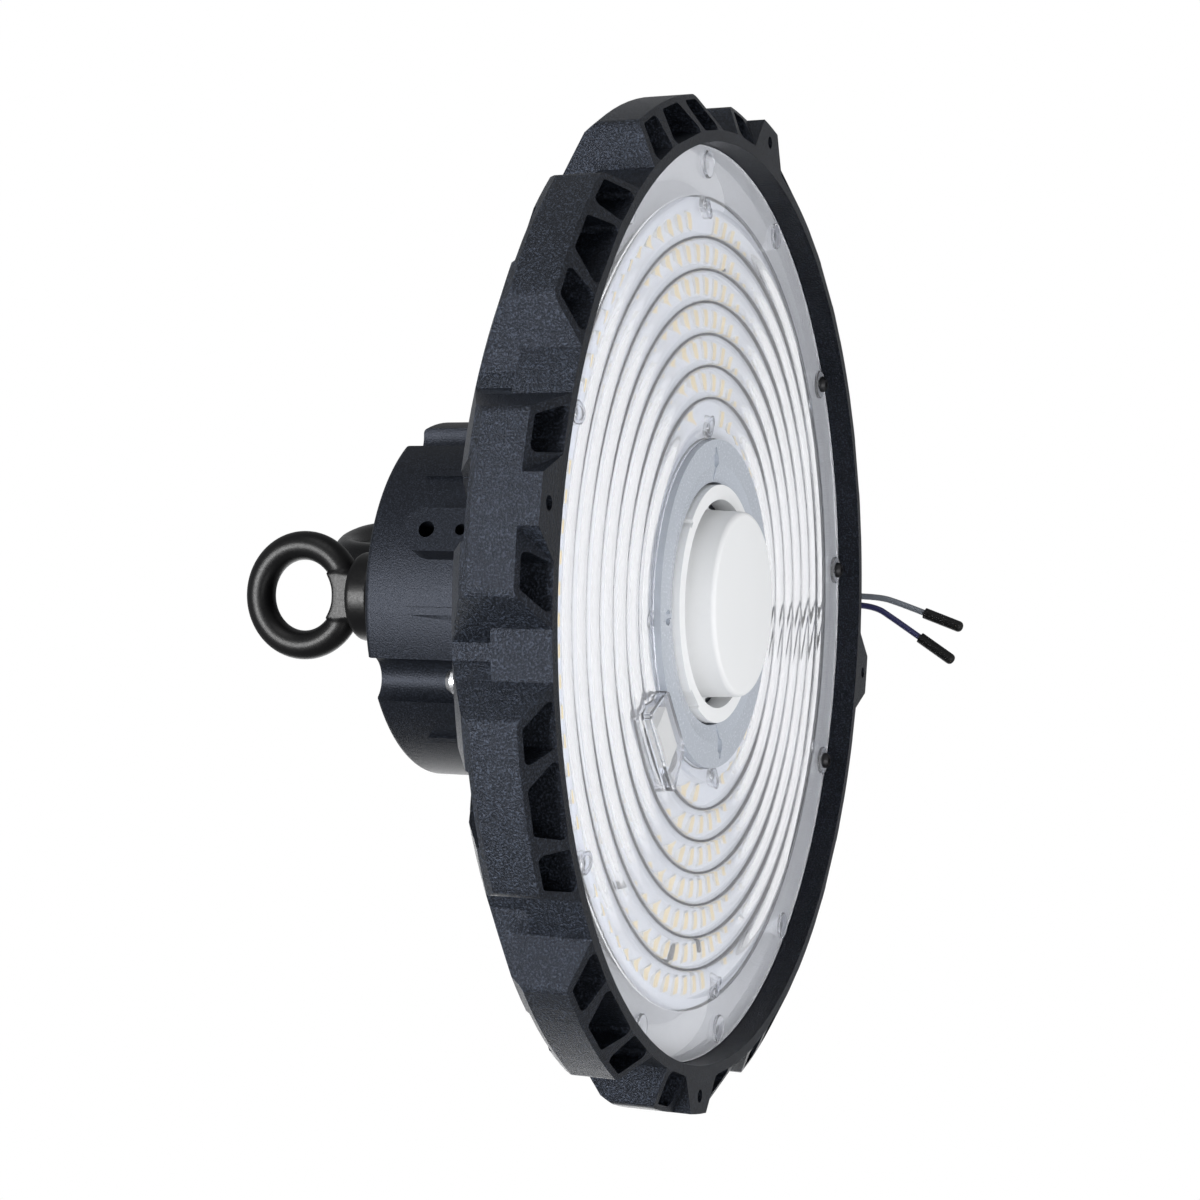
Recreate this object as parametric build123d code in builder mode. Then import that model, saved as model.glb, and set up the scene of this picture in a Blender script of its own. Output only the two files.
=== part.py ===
from build123d import *
import os
from math import cos, pi, radians, sin, tan

os.makedirs("parts", exist_ok=True)

# Round high bay light, hung by its eye bolt. Z is the lamp's axis, with the eye bolt at the top and the
# light coming out at the bottom. The origin is the centre of the eye ring, and the ring lies in the XZ plane.
# Heights are counted from the front rim's plane upwards, and level() turns them into planes.

# The heatsink casting
lobe_radius = 158.0
lobe_rise = 11.0
rim_wall = 3.5
lobe_count = 12
lobe_angle = 9.84
lobe_outer_half_angle = 9.0
lobe_flank_half_angle = 12.3
lobe_root_half_angle = 14.13
lobe_root_inset = 0.3
lobe_corner_radius = 4.0
lobe_edge_cut = 2.0
front_chamfer_height = 6.0
lobe_side_height = 21.3
web_inset = 5.0
web_back_height = 31.0
valley_step_height = 17.5
recess_depth = 12.2
plate_thickness = 3.8
pocket_floor_thickness = 2.8
pocket_outer_gap = 1.5
pocket_corner_radius = 1.6
side_pocket_angles = ((4.6, 8.4), (5.7, 11.1))
middle_pocket_angles = (2.4, 4.75)
tab_count = 4
tab_outer_half_width = 6.9
tab_root_half_width = 14.8
tab_hole_radius = 2.0
tab_hole_inset = 5.4
fin_thickness = 2.4
fin_spacing = 10.0
channel_end_inset = 9.0

# The hub that carries the driver housing
hub_ledge = 5.8
hub_top_height = 62.0
hub_well_inset = 11.2
hub_well_floor = 30.0
wire_hole_radius = 5.0
wire_hole_place = 40.0
standoff_count = 4
standoff_angle = 0.0
standoff_radius = 3.5
standoff_inset = 7.0
standoff_height = 36.0

# Seals, board and lens cover
seal_thickness = 2.0
flange_thickness = 2.2
flange_reach = 19.5
lens_gap = 0.3
lens_back_gap = 0.8
bead_count = 7
bead_first_inset = 7.7
bead_last_inset = 7.5
bead_gap = 0.8
bead_rise = 1.4
bead_groove_depth = 0.6
board_thickness = 1.6
board_inner_gap = 0.6
board_outer_gap = 1.0
rim_screw_inset = 9.5
rim_boss_radius = 5.0
rim_boss_rise = 1.0
post_count = 6
post_inset = 3.5
post_radius = 3.2
post_wall = 0.9
post_hollow_depth = 0.4
inner_post_count = 4
inner_post_inset = 3.7
inner_post_radius = 3.1

# Screws of the cover and of the board
screw_clearance = 0.15
screw_end_gap = 0.2
rim_screw_radius = 1.5
rim_screw_head_radius = 2.8
rim_screw_head_height = 2.0
rim_thread_length = 3.2
board_screw_radius = 1.25
board_screw_head_radius = 2.1
board_screw_head_height = 1.2
board_thread_length = 3.0
head_crown_share = 0.7
head_side_share = 0.4
drive_recess_radius = 1.1
drive_recess_depth = 0.8

# Wire terminal under a raised box of the lens cover
terminal_angle = -130.5
terminal_inset = 9.0
terminal_length = 16.0
terminal_width_inner = 24.0
terminal_width_outer = 32.0
terminal_box_rise = 2.2
terminal_box_wall = 1.2
terminal_box_corner_radius = 1.2
terminal_block_length = 9.0
terminal_block_width = 16.0
terminal_block_height = 4.6
terminal_port_radius = 1.3
terminal_port_depth = 5.0
terminal_port_spacing = 4.5
terminal_port_count = 3

# Centre ring and motion sensor
centre_ring_radius = 52.0
centre_ring_face_radius = 44.0
centre_ring_gap = 0.8
centre_ring_face_rise = 4.2
centre_ring_inner_rise = 2.8
centre_recess_count = 4
centre_recess_radius = 2.4
centre_recess_inset = 6.5
centre_slot_width = 1.6
sensor_base_radius = 37.7
sensor_base_wall = 4.7
sensor_base_rim_rise = 7.0
sensor_floor_thickness = 1.6
sensor_slot_width = 2.6
sensor_spoke_width = 5.0
sensor_spoke_count = 6
sensor_notch_angle = -142.5
sensor_notch_width = 9.0
sensor_small_notch_angle = -49.0
sensor_small_notch_width = 2.6
sensor_cap_inset = 0.6
sensor_cap_draft = 0.6
sensor_cap_rise = 13.6
sensor_cap_wall = 1.8
sensor_cap_edge = 1.6
sensor_cap_flat_angle = 53.5
sensor_cap_flat_depth = 1.2
sensor_peg_count = 3
sensor_peg_inset = 7.0
sensor_peg_radius = 2.0
sensor_peg_length = 1.6
sensor_board_gap = 3.0
sensor_board_thickness = 1.2
sensor_chip_size = 8.0
sensor_chip_height = 1.4

# Driver housing
driver_radius = 58.2
driver_wall = 3.0
driver_height = 37.8
driver_top_wall = 3.5
driver_edge_radius = 2.0
lug_angle = -71.0
lug_count = 2
lug_rise = 7.3
lug_width = 14.0
lug_height = 23.0
lug_hole_radius = 2.6
lug_hole_drop = 8.4
lug_hole_depth = 8.0
lug_lower_hole_radius = 1.8
lug_lower_hole_drop = 11.5
channel_count = 4
channel_radius = 7.5
channel_wall = 2.6
ledge_thickness = 6.5
driver_screw_inset = 1.2
driver_screw_radius = 2.4
driver_screw_head_radius = 4.15
driver_screw_crown_radius = 3.1
driver_screw_head_height = 4.5
driver_screw_side_height = 2.7
driver_thread_length = 11.0
ear_radius = 6.6
rib_width = 2.4
rib_rise = 1.0
rib_root = 1.0
rib_height = 23.5
rib_offset_angle = 22.5
boss_radius = 15.0
boss_root_radius = 17.0
boss_rise = 20.0
boss_inner_radius = 12.0
boss_drop = 6.5
seal_inner_gap = 1.5

# Eye bolt
eye_ring_radius = 17.0
eye_wire_radius = 5.0
eye_neck_height = 0.2
eye_block_width = 16.0
eye_block_depth = 11.0
eye_block_overlap = 7.4
eye_block_hollow_radius = 13.0
eye_collar_radius = 15.0
eye_collar_height = 9.0
collar_edge_radius = 1.5
eye_shank_radius = 5.0
eye_fit_clearance = 0.1
washer_radius = 9.0
washer_thickness = 2.0

# Cable gland
gland_inset = 25.1
gland_angle = 65.0
gland_boss_radius = 13.0
gland_boss_height = 10.0
gland_thread_radius = 8.0
gland_thread_length = 20.0
gland_hex_across = 22.0
gland_hex_height = 6.0
gland_cap_across = 21.0
gland_cap_height = 12.0
gland_cap_top_radius = 7.4
gland_dome_height = 6.0
gland_neck_radius = 7.6
gland_neck_height = 10.0
gland_sleeve_rise = 2.0
gland_sleeve_depth = 6.0
gland_nut_height = 5.0
gland_clearance = 0.1
sleeve_wall = 1.6

# Driver board and what stands on it, with heights as shares of the room under the housing's boss
driver_board_gap = 1.0
driver_board_thickness = 1.6
transformer_share = 0.8
transformer_length = 30.0
transformer_width = 26.0
transformer_core_width = 12.0
transformer_x = -16.0
transformer_y = 4.0
bobbin_overhang = 3.0
bobbin_share = 0.54
transistor_share = 0.67
transistor_width = 10.0
transistor_depth = 4.6
transistor_x = -22.0
transistor_y = -24.0
transistor_spacing = 8.0
capacitor_share = 0.85
capacitor_radius = 6.5
capacitor_x = 24.0
capacitor_y = 11.0
inductor_radius = 9.0
inductor_wire_radius = 3.4
inductor_x = 2.0
inductor_y = -32.0

# Supply cable and control wires: the routes are lists of points (x, y, height), chosen by hand; the cable
# rises straight out of its gland before the first of its points
cable_radius = 4.5
wire_radius = 1.2
wire_cap_radius = 2.1
wire_cap_length = 15.8
wire_cap_edge_radius = 1.7
bend_share = 0.45
cable_rise = 14.2
cable_free_points = [
    (17.0, 42.0, 163.0),
    (22.5, 64.0, 163.5),
    (25.0, 98.0, 150.0),
    (22.0, 134.0, 124.0),
    (12.0, 160.0, 84.0),
    (1.0, 175.0, 44.0),
    (1.0, 175.0, 12.0),
]
grey_wire_points = [
    (2.6, 175.0, 12.0),
    (2.6, 175.0, 1.0),
    (0.2, 175.3, -7.3),
    (-3.4, 175.0, -17.3),
]
purple_wire_points = [
    (-0.8, 175.0, 12.0),
    (-0.8, 175.0, 3.0),
    (-6.0, 174.7, -5.4),
    (-12.8, 175.0, -15.6),
]

# Radii and places that follow from the sizes above
rim_radius = lobe_radius - lobe_rise
recess_radius = rim_radius - rim_wall
web_radius = rim_radius - web_inset
pocket_outer_radius = lobe_radius - pocket_outer_gap
tab_hole_place = lobe_radius - tab_hole_inset
channel_outer_radius = rim_radius - channel_end_inset
fin_count = round(360.0 / fin_spacing)
valley_angle = lobe_angle - 180.0 / lobe_count
open_angles = [
    lobe_angle + index * 360.0 / lobe_count
    for index in range(lobe_count)
    if index * tab_count % lobe_count
]
lens_inner_radius = centre_ring_radius + lens_gap
flange_inner_radius = rim_radius - flange_reach
board_inner_radius = centre_ring_radius + board_inner_gap
board_outer_radius = flange_inner_radius - board_outer_gap
bead_first_radius = lens_inner_radius + bead_first_inset
bead_pitch = (flange_inner_radius - bead_last_inset - bead_first_radius) / (bead_count - 1)
bead_half_width = (bead_pitch - bead_gap) / 2
rim_screw_place = rim_radius - rim_screw_inset
post_place = flange_inner_radius - post_inset
inner_post_place = lens_inner_radius + inner_post_inset
terminal_place = centre_ring_radius + terminal_inset
centre_ring_inner_radius = sensor_base_radius + centre_ring_gap
centre_recess_place = centre_ring_radius - centre_recess_inset
sensor_base_inner_radius = sensor_base_radius - sensor_base_wall
sensor_floor_radius = sensor_base_inner_radius - sensor_slot_width
sensor_cap_radius = sensor_floor_radius - sensor_cap_inset
sensor_cap_face_radius = sensor_cap_radius - sensor_cap_draft
sensor_cap_flat_place = sensor_cap_radius - sensor_cap_flat_depth
sensor_board_radius = sensor_cap_radius - sensor_cap_wall - sensor_board_gap
sensor_peg_place = sensor_board_radius - sensor_peg_inset
hub_radius = driver_radius + hub_ledge
hub_well_radius = driver_radius - hub_well_inset
seal_inner_radius = hub_well_radius + seal_inner_gap
driver_board_radius = hub_well_radius - driver_board_gap
standoff_place = driver_board_radius - standoff_inset
driver_inner_radius = driver_radius - driver_wall
driver_screw_place = driver_radius - driver_screw_inset
lug_face_radius = driver_radius + lug_rise
channel_angle = lug_angle + 180.0 / channel_count
sleeve_radius = cable_radius + sleeve_wall
gland_place = driver_radius - gland_inset
gland_x = gland_place * cos(radians(gland_angle))
gland_y = gland_place * sin(radians(gland_angle))

# Heights that follow, from the front rim upwards
board_front_height = recess_depth - board_thickness
flange_back_height = recess_depth - seal_thickness
flange_front_height = flange_back_height - flange_thickness
lens_back_height = flange_back_height - lens_back_gap
bead_top_height = flange_front_height - bead_rise
groove_height = flange_front_height + bead_groove_depth
terminal_top_height = bead_top_height - terminal_box_rise
centre_ring_face_height = flange_back_height - centre_ring_face_rise
centre_ring_inner_height = flange_back_height - centre_ring_inner_rise
sensor_base_rim_height = recess_depth - sensor_base_rim_rise
sensor_seat_height = recess_depth - sensor_floor_thickness
sensor_cap_height = sensor_seat_height - sensor_cap_rise
sensor_board_height = sensor_seat_height - sensor_peg_length - sensor_board_thickness
plate_back_height = recess_depth + plate_thickness
pocket_floor_height = lobe_side_height - pocket_floor_thickness
driver_base_height = hub_top_height + seal_thickness
ledge_height = driver_base_height + ledge_thickness
lug_top_height = driver_base_height + lug_height
rib_top_height = driver_base_height + rib_height
driver_top_height = driver_base_height + driver_height
driver_ceiling_height = driver_top_height - driver_top_wall
boss_bottom_height = driver_ceiling_height - boss_drop
boss_top_height = driver_top_height + boss_rise
washer_top_height = boss_top_height + washer_thickness
collar_top_height = washer_top_height + eye_collar_height
eye_height = collar_top_height + eye_neck_height + eye_wire_radius + eye_ring_radius
driver_board_height = hub_well_floor + standoff_height
driver_parts_height = driver_board_height + driver_board_thickness
parts_room = boss_bottom_height - driver_parts_height
gland_seat_height = driver_top_height + gland_boss_height
lobe_edge_height = lobe_edge_cut * (web_back_height - lobe_side_height) / (lobe_radius - web_radius)
gland_hex_top = gland_seat_height + gland_hex_height
gland_cap_top = gland_hex_top + gland_cap_height
gland_dome_top = gland_cap_top + gland_dome_height
sleeve_top_height = gland_dome_top + gland_sleeve_rise


def level(height):
    """The plane at a height above the front rim."""
    return Plane.XY.offset(height - eye_height)


def upside(height):
    """The plane at a height, facing the light's front."""
    return Plane((0, 0, height - eye_height), x_dir=(1, 0, 0), z_dir=(0, 0, -1))


def polar(radius, angle):
    """The point at a radius and an angle in degrees."""
    return (radius * cos(radians(angle)), radius * sin(radians(angle)))


def section(points):
    """Points (radius, height) as points of the XZ plane, to be revolved about Z."""
    return [(radius, height - eye_height) for radius, height in points]


def turned(radius, count, angle):
    """Places on a circle, the first at an angle in degrees."""
    return PolarLocations(radius, count, start_angle=angle)


def radial_plane(radius, angle):
    """The plane that faces outwards at a radius, with its own X along the tangent and Y as the height."""
    return Plane(
        (*polar(radius, angle), -eye_height),
        x_dir=(*polar(1, angle + 90), 0),
        z_dir=(*polar(1, angle), 0),
    )


def side_pocket(side):
    """Corner points of the pocket beside a lobe's rib, on one side of the lobe."""
    (outer_in, outer_out), (inner_in, inner_out) = side_pocket_angles
    return [
        polar(rim_radius, side * inner_in),
        polar(pocket_outer_radius, side * outer_in),
        polar(pocket_outer_radius, side * outer_out),
        polar(rim_radius, side * inner_out),
    ]


def middle_pocket():
    """Corner points of the pocket in the middle of a lobe."""
    outer, inner = middle_pocket_angles
    return [
        polar(rim_radius, -inner),
        polar(pocket_outer_radius, -outer),
        polar(pocket_outer_radius, outer),
        polar(rim_radius, inner),
    ]


def channel_half_width(radius):
    """Half the width of a channel between two cooling fins, at a radius."""
    return radius * tan(radians(fin_spacing / 2)) - fin_thickness / 2


def lobe_outline():
    """Corner points of one lobe: middle, root, flank and an outer face that runs past the lobe radius."""
    root = polar(web_radius - lobe_root_inset, lobe_root_half_angle)
    flank = polar(rim_radius, lobe_flank_half_angle)
    corner = polar(lobe_radius, lobe_outer_half_angle)
    side = [root, flank, corner, (lobe_radius + lobe_rise, corner[1])]
    return [(0, 0)] + [(x, -y) for x, y in side] + side[::-1]


# Heatsink: outline of the web and its twelve lobes, cut to the turned section
with BuildPart() as heatsink:
    with BuildSketch(level(0)) as outline:
        with turned(0, lobe_count, lobe_angle):
            Polygon(*lobe_outline(), align=None)
        Circle(web_radius)
        Circle(lobe_radius, mode=Mode.INTERSECT)
        corners = outline.vertices().sort_by_distance((0, 0, 0))[-2 * lobe_count:]
        fillet(corners, lobe_corner_radius)
    extrude(amount=hub_top_height)
    with BuildSketch(level(0)):
        Circle(rim_radius)
    extrude(amount=valley_step_height)
    with BuildSketch(Plane.XZ) as turned_section:
        with BuildLine():
            Polyline(
                section(
                    [
                        (0, 0),
                        (rim_radius, 0),
                        (lobe_radius, front_chamfer_height),
                        (lobe_radius, lobe_side_height - lobe_edge_cut),
                        (lobe_radius - lobe_edge_cut, lobe_side_height + lobe_edge_height),
                        (web_radius, web_back_height),
                        (hub_radius, hub_top_height),
                        (0, hub_top_height),
                    ]
                ),
                close=True,
            )
        make_face()
    revolve(axis=Axis.Z, mode=Mode.INTERSECT)

    # Recess for the board and the lens cover
    with BuildSketch(level(0)):
        Circle(recess_radius)
    extrude(amount=recess_depth, mode=Mode.SUBTRACT)

    # Pockets in the lobes, open at the front
    with BuildSketch(level(0)) as pockets:
        with turned(0, lobe_count, lobe_angle):
            Polygon(*side_pocket(1), align=None)
            Polygon(*side_pocket(-1), align=None)
        for angle in open_angles:
            with Locations(Rotation(0, 0, angle)):
                Polygon(*middle_pocket(), align=None)
        fillet(pockets.vertices(), pocket_corner_radius)
    extrude(amount=pocket_floor_height, mode=Mode.SUBTRACT)

    # Tabs with a hole for a reflector, flush with the rim and with the lobe's face, on every third lobe
    with BuildSketch(level(0)):
        with turned(0, tab_count, lobe_angle):
            Polygon(
                (rim_radius - rim_wall / 2, -tab_root_half_width),
                (lobe_radius, -tab_outer_half_width),
                (lobe_radius + lobe_rise, -tab_outer_half_width),
                (lobe_radius + lobe_rise, tab_outer_half_width),
                (lobe_radius, tab_outer_half_width),
                (rim_radius - rim_wall / 2, tab_root_half_width),
                align=None,
            )
        Circle(lobe_radius, mode=Mode.INTERSECT)
    extrude(amount=lobe_side_height - lobe_edge_cut)
    with BuildSketch(level(0)):
        with turned(tab_hole_place, tab_count, lobe_angle):
            Circle(tab_hole_radius)
    extrude(amount=pocket_floor_height, mode=Mode.SUBTRACT)

    # Channels between the cooling fins, open at the back; those behind a lobe's middle run out through it
    hub_gap = channel_half_width(hub_radius)
    end_gap = channel_half_width(channel_outer_radius)
    with BuildSketch(level(plate_back_height)):
        with turned(0, fin_count, lobe_angle):
            Polygon(
                (hub_radius, -hub_gap),
                (channel_outer_radius, -end_gap),
                (channel_outer_radius, end_gap),
                (hub_radius, hub_gap),
                align=None,
            )
    extrude(amount=hub_top_height, mode=Mode.SUBTRACT)
    with BuildSketch(level(lobe_side_height)):
        with turned((channel_outer_radius + lobe_radius) / 2, lobe_count, lobe_angle):
            Rectangle(lobe_radius - channel_outer_radius + 2 * rim_wall, 2 * end_gap)
    extrude(amount=web_back_height, mode=Mode.SUBTRACT)

    # Well in the hub, with four standoffs for the driver's board and a hole for its wires
    with BuildSketch(level(hub_well_floor)):
        Circle(hub_well_radius)
    extrude(amount=hub_top_height, mode=Mode.SUBTRACT)
    with BuildSketch(level(hub_well_floor)):
        with turned(standoff_place, standoff_count, standoff_angle):
            Circle(standoff_radius)
    extrude(amount=standoff_height)
    with BuildSketch(level(0)):
        with Locations(polar(wire_hole_place, terminal_angle)):
            Circle(wire_hole_radius)
    extrude(amount=hub_top_height, mode=Mode.SUBTRACT)

    # Screw holes
    with BuildSketch(level(recess_depth)):
        with turned(rim_screw_place, lobe_count, valley_angle):
            Circle(rim_screw_radius + screw_clearance)
    extrude(amount=rim_thread_length + screw_end_gap, mode=Mode.SUBTRACT)
    with BuildSketch(level(recess_depth)):
        with turned(post_place, post_count, valley_angle):
            Circle(board_screw_radius + screw_clearance)
        with turned(inner_post_place, inner_post_count, valley_angle):
            Circle(board_screw_radius + screw_clearance)
    extrude(amount=board_thread_length + screw_end_gap, mode=Mode.SUBTRACT)
    with BuildSketch(upside(hub_top_height)):
        with turned(driver_screw_place, channel_count, -channel_angle):
            Circle(driver_screw_radius + screw_clearance)
    extrude(amount=driver_thread_length + screw_end_gap, mode=Mode.SUBTRACT)
heatsink.part.label = "heatsink"
export_step(heatsink.part, "parts/heatsink.step")


# Lens cover: turned section with seven raised rings, posts that press on the board round its screws, bosses
# round the rim screws and a raised box over the wire terminal
bead_roots = [bead_first_radius + index * bead_pitch for index in range(bead_count)]
with BuildPart() as lens_cover:
    with BuildSketch(Plane.XZ):
        with BuildLine():
            start = (lens_inner_radius, flange_front_height)
            for place in bead_roots:
                left = (place - bead_half_width, flange_front_height)
                right = (place + bead_half_width, flange_front_height)
                if place == bead_first_radius:
                    Line(*section([start, left]))
                else:
                    groove = (place - bead_pitch / 2, groove_height)
                    Polyline(section([start, groove, left]))
                ThreePointArc(*section([left, (place, bead_top_height), right]))
                start = right
            Polyline(
                section(
                    [
                        start,
                        (recess_radius - lens_gap, flange_front_height),
                        (recess_radius - lens_gap, flange_back_height),
                        (flange_inner_radius, flange_back_height),
                        (flange_inner_radius, lens_back_height),
                        (lens_inner_radius, lens_back_height),
                        (lens_inner_radius, flange_front_height),
                    ]
                )
            )
        make_face()
    revolve(axis=Axis.Z)
    with BuildSketch(level(flange_front_height - rim_boss_rise)):
        with turned(rim_screw_place, lobe_count, valley_angle):
            Circle(rim_boss_radius)
    extrude(amount=rim_boss_rise + flange_thickness / 2)
    with BuildSketch(level(lens_back_height - post_hollow_depth)):
        with turned(post_place, post_count, valley_angle):
            Circle(post_radius)
        with turned(inner_post_place, inner_post_count, valley_angle):
            Circle(inner_post_radius)
    extrude(amount=board_front_height - lens_back_height + post_hollow_depth)
    with BuildSketch(level(terminal_top_height)) as box_outline:
        with Locations(Rotation(0, 0, terminal_angle)):
            with Locations((terminal_place, 0)):
                Polygon(
                    (-terminal_length / 2, -terminal_width_inner / 2),
                    (terminal_length / 2, -terminal_width_outer / 2),
                    (terminal_length / 2, terminal_width_outer / 2),
                    (-terminal_length / 2, terminal_width_inner / 2),
                    align=None,
                )
        fillet(box_outline.vertices(), terminal_box_corner_radius)
    extrude(amount=lens_back_height - terminal_top_height)

    # Hollows of the posts and the box, and the holes for the rim screws
    with BuildSketch(level(lens_back_height - post_hollow_depth)):
        with turned(post_place, post_count, valley_angle):
            Circle(post_radius - post_wall)
        with turned(inner_post_place, inner_post_count, valley_angle):
            Circle(inner_post_radius - post_wall)
    extrude(amount=board_front_height - lens_back_height + post_hollow_depth, mode=Mode.SUBTRACT)
    with BuildSketch(level(terminal_top_height + terminal_box_wall)):
        with Locations(Rotation(0, 0, terminal_angle)):
            with Locations((terminal_place, 0)):
                Rectangle(
                    terminal_length - 2 * terminal_box_wall,
                    terminal_width_inner - 2 * terminal_box_wall,
                )
    extrude(amount=lens_back_height - terminal_top_height, mode=Mode.SUBTRACT)
    with BuildSketch(level(flange_front_height - rim_boss_rise)):
        with turned(rim_screw_place, lobe_count, valley_angle):
            Circle(rim_screw_radius + screw_clearance)
    extrude(amount=rim_boss_rise + flange_thickness, mode=Mode.SUBTRACT)
lens_cover.part.label = "lens_cover"
export_step(lens_cover.part, "parts/lens_cover.step")

# Seal between the cover's flange and the casting, with the screws passing through it
with BuildPart() as rim_seal:
    with BuildSketch(level(flange_back_height)):
        Circle(recess_radius - lens_gap)
        Circle(flange_inner_radius, mode=Mode.SUBTRACT)
        with turned(rim_screw_place, lobe_count, valley_angle):
            Circle(rim_screw_radius + screw_clearance, mode=Mode.SUBTRACT)
    extrude(amount=seal_thickness)
rim_seal.part.label = "rim_seal"
export_step(rim_seal.part, "parts/rim_seal.step")

# Seal under the centre ring
with BuildPart() as centre_seal:
    with BuildSketch(level(flange_back_height)):
        Circle(centre_ring_radius)
        Circle(centre_ring_inner_radius, mode=Mode.SUBTRACT)
        with Locations(polar(wire_hole_place, terminal_angle)):
            Circle(wire_hole_radius, mode=Mode.SUBTRACT)
    extrude(amount=seal_thickness)
centre_seal.part.label = "centre_seal"
export_step(centre_seal.part, "parts/centre_seal.step")

# LED board
with BuildPart() as led_board:
    with BuildSketch(level(board_front_height)):
        Circle(board_outer_radius)
        Circle(board_inner_radius, mode=Mode.SUBTRACT)
        with turned(post_place, post_count, valley_angle):
            Circle(board_screw_radius + screw_clearance, mode=Mode.SUBTRACT)
        with turned(inner_post_place, inner_post_count, valley_angle):
            Circle(board_screw_radius + screw_clearance, mode=Mode.SUBTRACT)
    extrude(amount=board_thickness)
led_board.part.label = "led_board"
export_step(led_board.part, "parts/led_board.step")

# Terminal on the board, under the raised box
with BuildPart() as wire_terminal:
    with BuildSketch(level(board_front_height - terminal_block_height)):
        with Locations(Rotation(0, 0, terminal_angle)):
            with Locations((terminal_place, 0)):
                Rectangle(terminal_block_length, terminal_block_width)
    extrude(amount=terminal_block_height)
    with BuildSketch(radial_plane(terminal_place - terminal_block_length / 2, terminal_angle)):
        with Locations((0, board_front_height - terminal_block_height / 2)):
            with GridLocations(terminal_port_spacing, 0, terminal_port_count, 1):
                Circle(terminal_port_radius)
    extrude(amount=terminal_port_depth, mode=Mode.SUBTRACT)
wire_terminal.part.label = "wire_terminal"
export_step(wire_terminal.part, "parts/wire_terminal.step")


def pan_screw(head_radius, head_height, shank_radius, shank_length):
    """A pan-head screw along +Z, its head's underside at the origin and its drive recess facing down."""
    with BuildPart() as screw:
        with BuildSketch(Plane.XZ):
            with BuildLine():
                Polyline(
                    (0, -head_height),
                    (head_radius * head_crown_share, -head_height),
                    (head_radius, -head_height * head_side_share),
                    (head_radius, 0),
                    (shank_radius, 0),
                    (shank_radius, shank_length),
                    (0, shank_length),
                    close=True,
                )
            make_face()
        revolve(axis=Axis.Z)
        with BuildSketch(Plane.XY.offset(-head_height)):
            RegularPolygon(drive_recess_radius, 6)
        extrude(amount=drive_recess_depth, mode=Mode.SUBTRACT)
    return screw.part


# Twelve screws of the lens cover
rim_screw_seat = flange_front_height - rim_boss_rise
rim_screw = pan_screw(
    rim_screw_head_radius,
    rim_screw_head_height,
    rim_screw_radius,
    recess_depth - rim_screw_seat + rim_thread_length,
)
with BuildPart() as lens_screws:
    with Locations(level(rim_screw_seat)):
        with turned(rim_screw_place, lobe_count, valley_angle):
            add(rim_screw)
lens_screws.part.label = "lens_screws"
export_step(lens_screws.part, "parts/lens_screws.step")

# Ten screws of the LED board, each under a clear post
board_screw = pan_screw(
    board_screw_head_radius,
    board_screw_head_height,
    board_screw_radius,
    board_thickness + board_thread_length,
)
with BuildPart() as board_screws:
    with Locations(level(board_front_height)):
        with turned(post_place, post_count, valley_angle):
            add(board_screw)
        with turned(inner_post_place, inner_post_count, valley_angle):
            add(board_screw)
board_screws.part.label = "board_screws"
export_step(board_screws.part, "parts/board_screws.step")

# Centre ring
with BuildPart() as centre_ring:
    with BuildSketch(Plane.XZ):
        with BuildLine():
            Polyline(
                section(
                    [
                        (centre_ring_radius, flange_back_height),
                        (centre_ring_radius, centre_ring_face_height),
                        (centre_ring_face_radius, centre_ring_face_height),
                        (centre_ring_inner_radius, centre_ring_inner_height),
                        (centre_ring_inner_radius, flange_back_height),
                    ]
                ),
                close=True,
            )
        make_face()
    revolve(axis=Axis.Z)
    with BuildSketch(level(0)):
        with turned(centre_recess_place, centre_recess_count, valley_angle):
            Circle(centre_recess_radius)
    extrude(amount=centre_ring_inner_height, mode=Mode.SUBTRACT)
    with BuildSketch(level(0)):
        with turned(centre_ring_face_radius, centre_recess_count, valley_angle):
            Rectangle(2 * (centre_ring_face_radius - centre_ring_inner_radius), centre_slot_width)
    extrude(amount=centre_ring_inner_height, mode=Mode.SUBTRACT)
centre_ring.part.label = "centre_ring"
export_step(centre_ring.part, "parts/centre_ring.step")


# Sensor base: a ring joined to its floor by spokes, with pegs for the sensor's board
with BuildPart() as sensor_base:
    with BuildSketch(level(sensor_base_rim_height)):
        Circle(sensor_base_radius)
        Circle(sensor_base_inner_radius, mode=Mode.SUBTRACT)
        with Locations(Rotation(0, 0, sensor_notch_angle)):
            with Locations((sensor_base_radius, 0)):
                Rectangle(sensor_slot_width, sensor_notch_width, mode=Mode.SUBTRACT)
        with Locations(Rotation(0, 0, sensor_small_notch_angle)):
            with Locations((sensor_base_radius, 0)):
                Rectangle(sensor_slot_width, sensor_small_notch_width, mode=Mode.SUBTRACT)
    extrude(amount=recess_depth - sensor_base_rim_height)
    with BuildSketch(level(sensor_seat_height)):
        Circle(sensor_floor_radius)
        with turned(sensor_floor_radius, sensor_spoke_count, 0):
            Rectangle(2 * sensor_slot_width + sensor_slot_width / 2, sensor_spoke_width)
    extrude(amount=sensor_floor_thickness)
    with BuildSketch(level(sensor_board_height + sensor_board_thickness)):
        with turned(sensor_peg_place, sensor_peg_count, 0):
            Circle(sensor_peg_radius)
    extrude(amount=sensor_peg_length)
sensor_base.part.label = "sensor_base"
export_step(sensor_base.part, "parts/sensor_base.step")

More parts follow.
